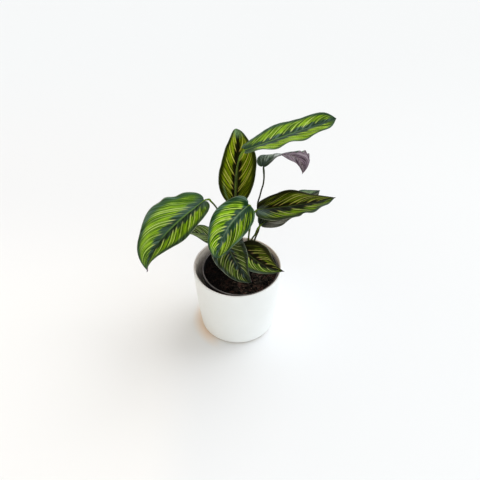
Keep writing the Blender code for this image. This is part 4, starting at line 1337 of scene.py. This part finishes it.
class CALATHEA_leaf(bpy.types.PropertyGroup):
    """Sizes of one leaf."""
    title: StringProperty(name="Leaf", description="Name of the leaf's solid", default="")
    base: FloatVectorProperty(
        name="Base", description="Where the blade starts", default=(0.0, 0.0, 0.2),
        subtype="TRANSLATION", size=3)
    root: FloatVectorProperty(
        name="Root", description="Where the stalk leaves the soil, in metres",
        default=(0.0, 0.0), subtype="XYZ", size=2)
    length: length_property("Length", "Length of the blade along its midrib", 0.1)
    heading: angle_property("Heading", "Direction in which the midrib leaves, from +X")
    rise: angle_property("Rise", "How steeply the midrib leaves")
    droop: angle_property("Droop", "How far the blade sinks evenly along its length")
    hook: angle_property("Hook", "How far the blade sinks more near its tip")
    swing: angle_property("Swing", "How far the midrib turns along its length")
    roll: angle_property("Roll", "How far the left half is lifted at the base")
    twist: angle_property("Twist", "What is added to the roll up to the tip")
    right_width: length_property("Right Width", "Greatest width of the right half", 0.03)
    left_width: length_property("Left Width", "Greatest width of the left half", 0.03)
    fold: angle_property("Fold", "How far both halves are raised from the midrib")
    curl: angle_property("Curl", "What is added to the fold towards the margin")
    right_wave: length_property("Right Wave", "Wave of the right margin", 0.001)
    left_wave: length_property("Left Wave", "Wave of the left margin", 0.001)
    right_phase: number_property("Right Phase", "Start of the right wave")
    left_phase: number_property("Left Phase", "Start of the left wave")
    right_waves: number_property("Right Waves", "Waves along the right margin", 2.0)
    left_waves: number_property("Left Waves", "Waves along the left margin", 2.0)
    fullest: FloatProperty(
        name="Fullest", description="Share of the length where the blade is widest",
        default=0.42, min=0.2, max=0.8, subtype="FACTOR")
    shoulder: number_property("Shoulder", "How round the base of the blade is", 0.5)
    drip: FloatProperty(
        name="Drip", description="Share of the length over which it narrows to a fine tip",
        default=0.015, min=0.001, max=0.2)
    crimp: length_property("Crimp", "Short waves on a stretch of the right margin", 0.0)
    crimp_waves: number_property(
        "Crimp Waves", "Short waves if they ran the whole length", 1.0)
    crimp_phase: number_property("Crimp Phase", "Start of the short waves")
    crimp_place: number_property(
        "Crimp Place", "Middle of the stretch as a share of the length", 0.5)
    crimp_spread: number_property(
        "Crimp Spread", "Half length of the stretch as a share of the length", 0.1)
    seed: number_property("Seed", "Start of the pattern's variation")
    left_paint: PointerProperty(type=CALATHEA_paint, name="Left Colours")
    right_paint: PointerProperty(type=CALATHEA_paint, name="Right Colours")


class CALATHEA_settings(bpy.types.PropertyGroup):
    """Sizes that the leaves share, and those of the soil and the stage."""
    thickness: length_property("Blade Thickness", "Thickness of every blade", 0.0006)
    rib_height: length_property("Rib Height", "How far the midrib stands out below", 0.0011)
    pleats: number_property("Pleats", "Low folds along each half of a blade", 26.0)
    pleat_height: length_property("Pleat Height", "Height of the low folds", 0.00018)
    ruffle: length_property("Ruffle", "Small unevenness of the margins", 0.0022)
    rows: IntProperty(name="Rows", description="Rows of points along a blade", default=121)
    columns: IntProperty(name="Columns", description="Points across a blade", default=57)
    stalk_sides: IntProperty(name="Stalk Sides", description="Sides of a stalk", default=14)
    stalk_radius: length_property("Stalk Radius", "Radius of a stalk", 0.0012)
    sheath_radius: length_property("Sheath Radius", "Radius of a stalk at the soil", 0.0022)
    lump_height: length_property("Lump Height", "Unevenness of the soil", 0.002)
    crumb_size: length_property("Crumb Size", "Typical radius of a crumb of soil", 0.0012)
    crumbs: number_property("Crumbs", "Crumbs on each square metre of soil", 125000.0)
    fibres: number_property("Fibres", "Fibres on each square metre of soil", 16000.0)
    seed: IntProperty(name="Seed", description="Start of the soil's random draws", default=4)
    sun_strength: number_property("Sun Strength", "Strength of the soft key light", 1.33)
    sky_strength: number_property("Sky Strength", "Strength of the light from all round", 0.92)
    smooth_pots: BoolProperty(
        name="Smooth Pots", description="Turn the pots with many sides", default=True)


# Operators

class CALATHEA_OT_leaves(bpy.types.Operator):
    """Build the ten leaves, each a waved blade on its stalk"""
    bl_idname = "calathea.leaves"
    bl_label = "Leaves"

    def execute(self, context):
        settings = context.scene.calathea
        tree = leaf_tree()
        stalks = {name: stalk_material(name, *colours) for name, colours in STALKS.items()}
        for leaf in context.scene.calathea_leaves:
            name = leaf.title
            marks = MARKS[name]
            veins = zip(VEIN_NUMBERS, marks["slope"] + marks["bend"])
            values = {
                "Base": tuple(leaf.base), **values_of(leaf, LEAF_ANGLES + LEAF_NUMBERS),
                **values_of(settings, BLADE_NUMBERS + BLADE_COUNTS),
                **{input_name(key): value for key, value in veins},
                "Blade material": blade_material(name, leaf, marks),
                "Stalk material": stalks[PAINTS[name].get("stalk", "green_stalk")],
            }
            mesh = as_mesh(name + "_fine", stalk_line(leaf, settings), tree, values)
            piece(name + "_fine", mesh, name)
        return {"FINISHED"}


class CALATHEA_OT_soil(bpy.types.Operator):
    """Build the soil with its lumps, crumbs and fibres"""
    bl_idname = "calathea.soil"
    bl_label = "Potting Soil"

    def execute(self, context):
        settings = context.scene.calathea
        values = {
            "Centre": (GROW_CENTRE[0] * MM, GROW_CENTRE[1] * MM, 0.0),
            "Radius": SOIL_RADIUS * MM, "Foot radius": SOIL_FOOT_RADIUS * MM,
            "Top": SOIL_TOP * MM, "Bottom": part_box("potting_soil")[0][2],
            **values_of(settings, SOIL_NUMBERS),
            "Soil material": soil_material(), "Fibre material": fibre_material(),
        }
        start = bpy.data.meshes.new("soil_start")
        mesh = as_mesh("soil_fine", start, soil_tree(), values)
        piece("soil_fine", mesh, "potting_soil")
        return {"FINISHED"}


class CALATHEA_OT_grow_pot(bpy.types.Operator):
    """Build the thin plastic pot with its collar and drain holes"""
    bl_idname = "calathea.grow_pot"
    bl_label = "Grow Pot"

    def execute(self, context):
        sides = GROW_SIDES if context.scene.calathea.smooth_pots else PLAIN_SIDES
        pot = placed("grow_pot_fine", turned(
            "grow_pot_fine", rounded(grow_profile()), sides, plastic_material(), GROW_CENTRE))
        tool = placed("drain_holes", drain_drills())
        cut = pot.modifiers.new("Drain holes", "BOOLEAN")
        cut.object = tool
        cut.operation = "DIFFERENCE"
        mesh = finished(pot)
        bpy.data.objects.remove(tool, do_unlink=True)
        piece("grow_pot_fine", mesh, "grow_pot")
        return {"FINISHED"}


class CALATHEA_OT_cover_pot(bpy.types.Operator):
    """Build the white cover pot"""
    bl_idname = "calathea.cover_pot"
    bl_label = "Cover Pot"

    def execute(self, context):
        sides = COVER_SIDES if context.scene.calathea.smooth_pots else PLAIN_SIDES
        mesh = turned("cover_pot_fine", cover_profile(), sides, glaze_material())
        piece("cover_pot_fine", mesh, "cover_pot")
        return {"FINISHED"}


class CALATHEA_OT_stage(bpy.types.Operator):
    """Build the pale floor, the soft light and the camera"""
    bl_idname = "calathea.stage"
    bl_label = "Floor, Light and Camera"

    def execute(self, context):
        scene, settings = context.scene, context.scene.calathea
        shape = bmesh.new()
        bmesh.ops.create_grid(shape, x_segments=8, y_segments=8, size=FLOOR_HALF)
        mesh = drawn("floor", shape)
        mesh.materials.append(floor_material())
        placed("floor", mesh)

        world = bpy.data.worlds.new("soft_room")
        world.use_nodes = True
        m = Maker(world.node_tree)
        sideways, _, height = m.parts(m.add("ShaderNodeTexCoord", out="Generated"))
        sky = m.mix(m.ramp(sideways, -0.9, 0.4), SKY_LEFT, SKY_RIGHT)
        sky = m.mix(m.ramp(height, 0.02, 0.1), SKY_LOW, sky)
        back = world.node_tree.nodes["Background"]
        m.feed(back.inputs["Color"], sky)
        m.feed(back.inputs["Strength"], settings.sky_strength)
        scene.world = world

        lamp = bpy.data.lights.new("window", "SUN")
        lamp.energy = settings.sun_strength
        lamp.angle = math.radians(SUN_SPREAD)
        lamp.color = SUN_COLOUR
        sun = placed("window", lamp)
        sun.rotation_euler = (math.radians(SUN_TURN[0]), math.radians(SUN_TURN[1]), 0)

        view = bpy.data.cameras.new("camera")
        view.sensor_width = CAMERA_SENSOR
        view.lens = CAMERA_LENS
        camera = placed("camera", view)
        camera.location = CAMERA_PLACE
        camera.rotation_euler = (math.radians(CAMERA_PITCH), 0, 0)
        scene.camera = camera
        scene.view_settings.view_transform = "Standard"
        return {"FINISHED"}


class CALATHEA_PT_panel(bpy.types.Panel):
    """The plant's pieces and settings"""
    bl_label = "Pinstripe Calathea"
    bl_idname = "CALATHEA_PT_panel"
    bl_space_type = "VIEW_3D"
    bl_region_type = "UI"
    bl_category = "Calathea"

    def draw(self, context):
        for operator in OPERATORS:
            self.layout.operator(operator.bl_idname)
        settings = context.scene.calathea
        for name in settings.bl_rna.properties.keys():
            if name not in ("rna_type", "name"):
                self.layout.prop(settings, name)


OPERATORS = (
    CALATHEA_OT_cover_pot, CALATHEA_OT_grow_pot, CALATHEA_OT_soil, CALATHEA_OT_leaves,
    CALATHEA_OT_stage)
CLASSES = (CALATHEA_paint, CALATHEA_leaf, CALATHEA_settings) + OPERATORS + (CALATHEA_PT_panel,)


# Running

def register():
    for cls in CLASSES:
        bpy.utils.register_class(cls)
    bpy.types.Scene.calathea = PointerProperty(type=CALATHEA_settings)
    bpy.types.Scene.calathea_leaves = CollectionProperty(type=CALATHEA_leaf)


def unregister():
    del bpy.types.Scene.calathea_leaves
    del bpy.types.Scene.calathea
    for cls in reversed(CLASSES):
        bpy.utils.unregister_class(cls)


def fill_leaves(scene):
    """Give the scene one entry for each leaf, in metres and radians."""
    scene.calathea_leaves.clear()
    for name, sizes in LEAVES.items():
        leaf = scene.calathea_leaves.add()
        leaf.title = name
        leaf.base = [value * MM for value in sizes["base"]]
        leaf.root = [value * MM for value in sizes["root"]]
        leaf.length = sizes["length"] * MM
        for key in LEAF_ANGLES:
            setattr(leaf, key, math.radians(sizes[key]))
        for key, unit in (("width", MM), ("wave", MM), ("phase", 1.0), ("waves", 1.0)):
            for half, value in zip(("right_", "left_"), sizes[key]):
                setattr(leaf, half + key, value * unit)
        for key in ("fullest", "shoulder", "drip"):
            setattr(leaf, key, sizes[key])
        size, leaf.crimp_waves, leaf.crimp_phase, leaf.crimp_place, leaf.crimp_spread = (
            CRIMPS.get(name, NO_CRIMP))
        leaf.crimp = size * MM
        paints = PAINTS[name]
        leaf.seed = paints["seed"]
        for key in CALATHEA_paint.__annotations__:
            for half, coat in (("left", leaf.left_paint), ("right", leaf.right_paint)):
                setattr(coat, key, paint(paints.get(half, {}).get(key, paints[key])))


def main():
    """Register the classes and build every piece."""
    register()
    fill_leaves(bpy.context.scene)
    bpy.ops.calathea.cover_pot()
    bpy.ops.calathea.grow_pot()
    bpy.ops.calathea.soil()
    bpy.ops.calathea.leaves()
    bpy.ops.calathea.stage()


if __name__ == "__main__":
    main()
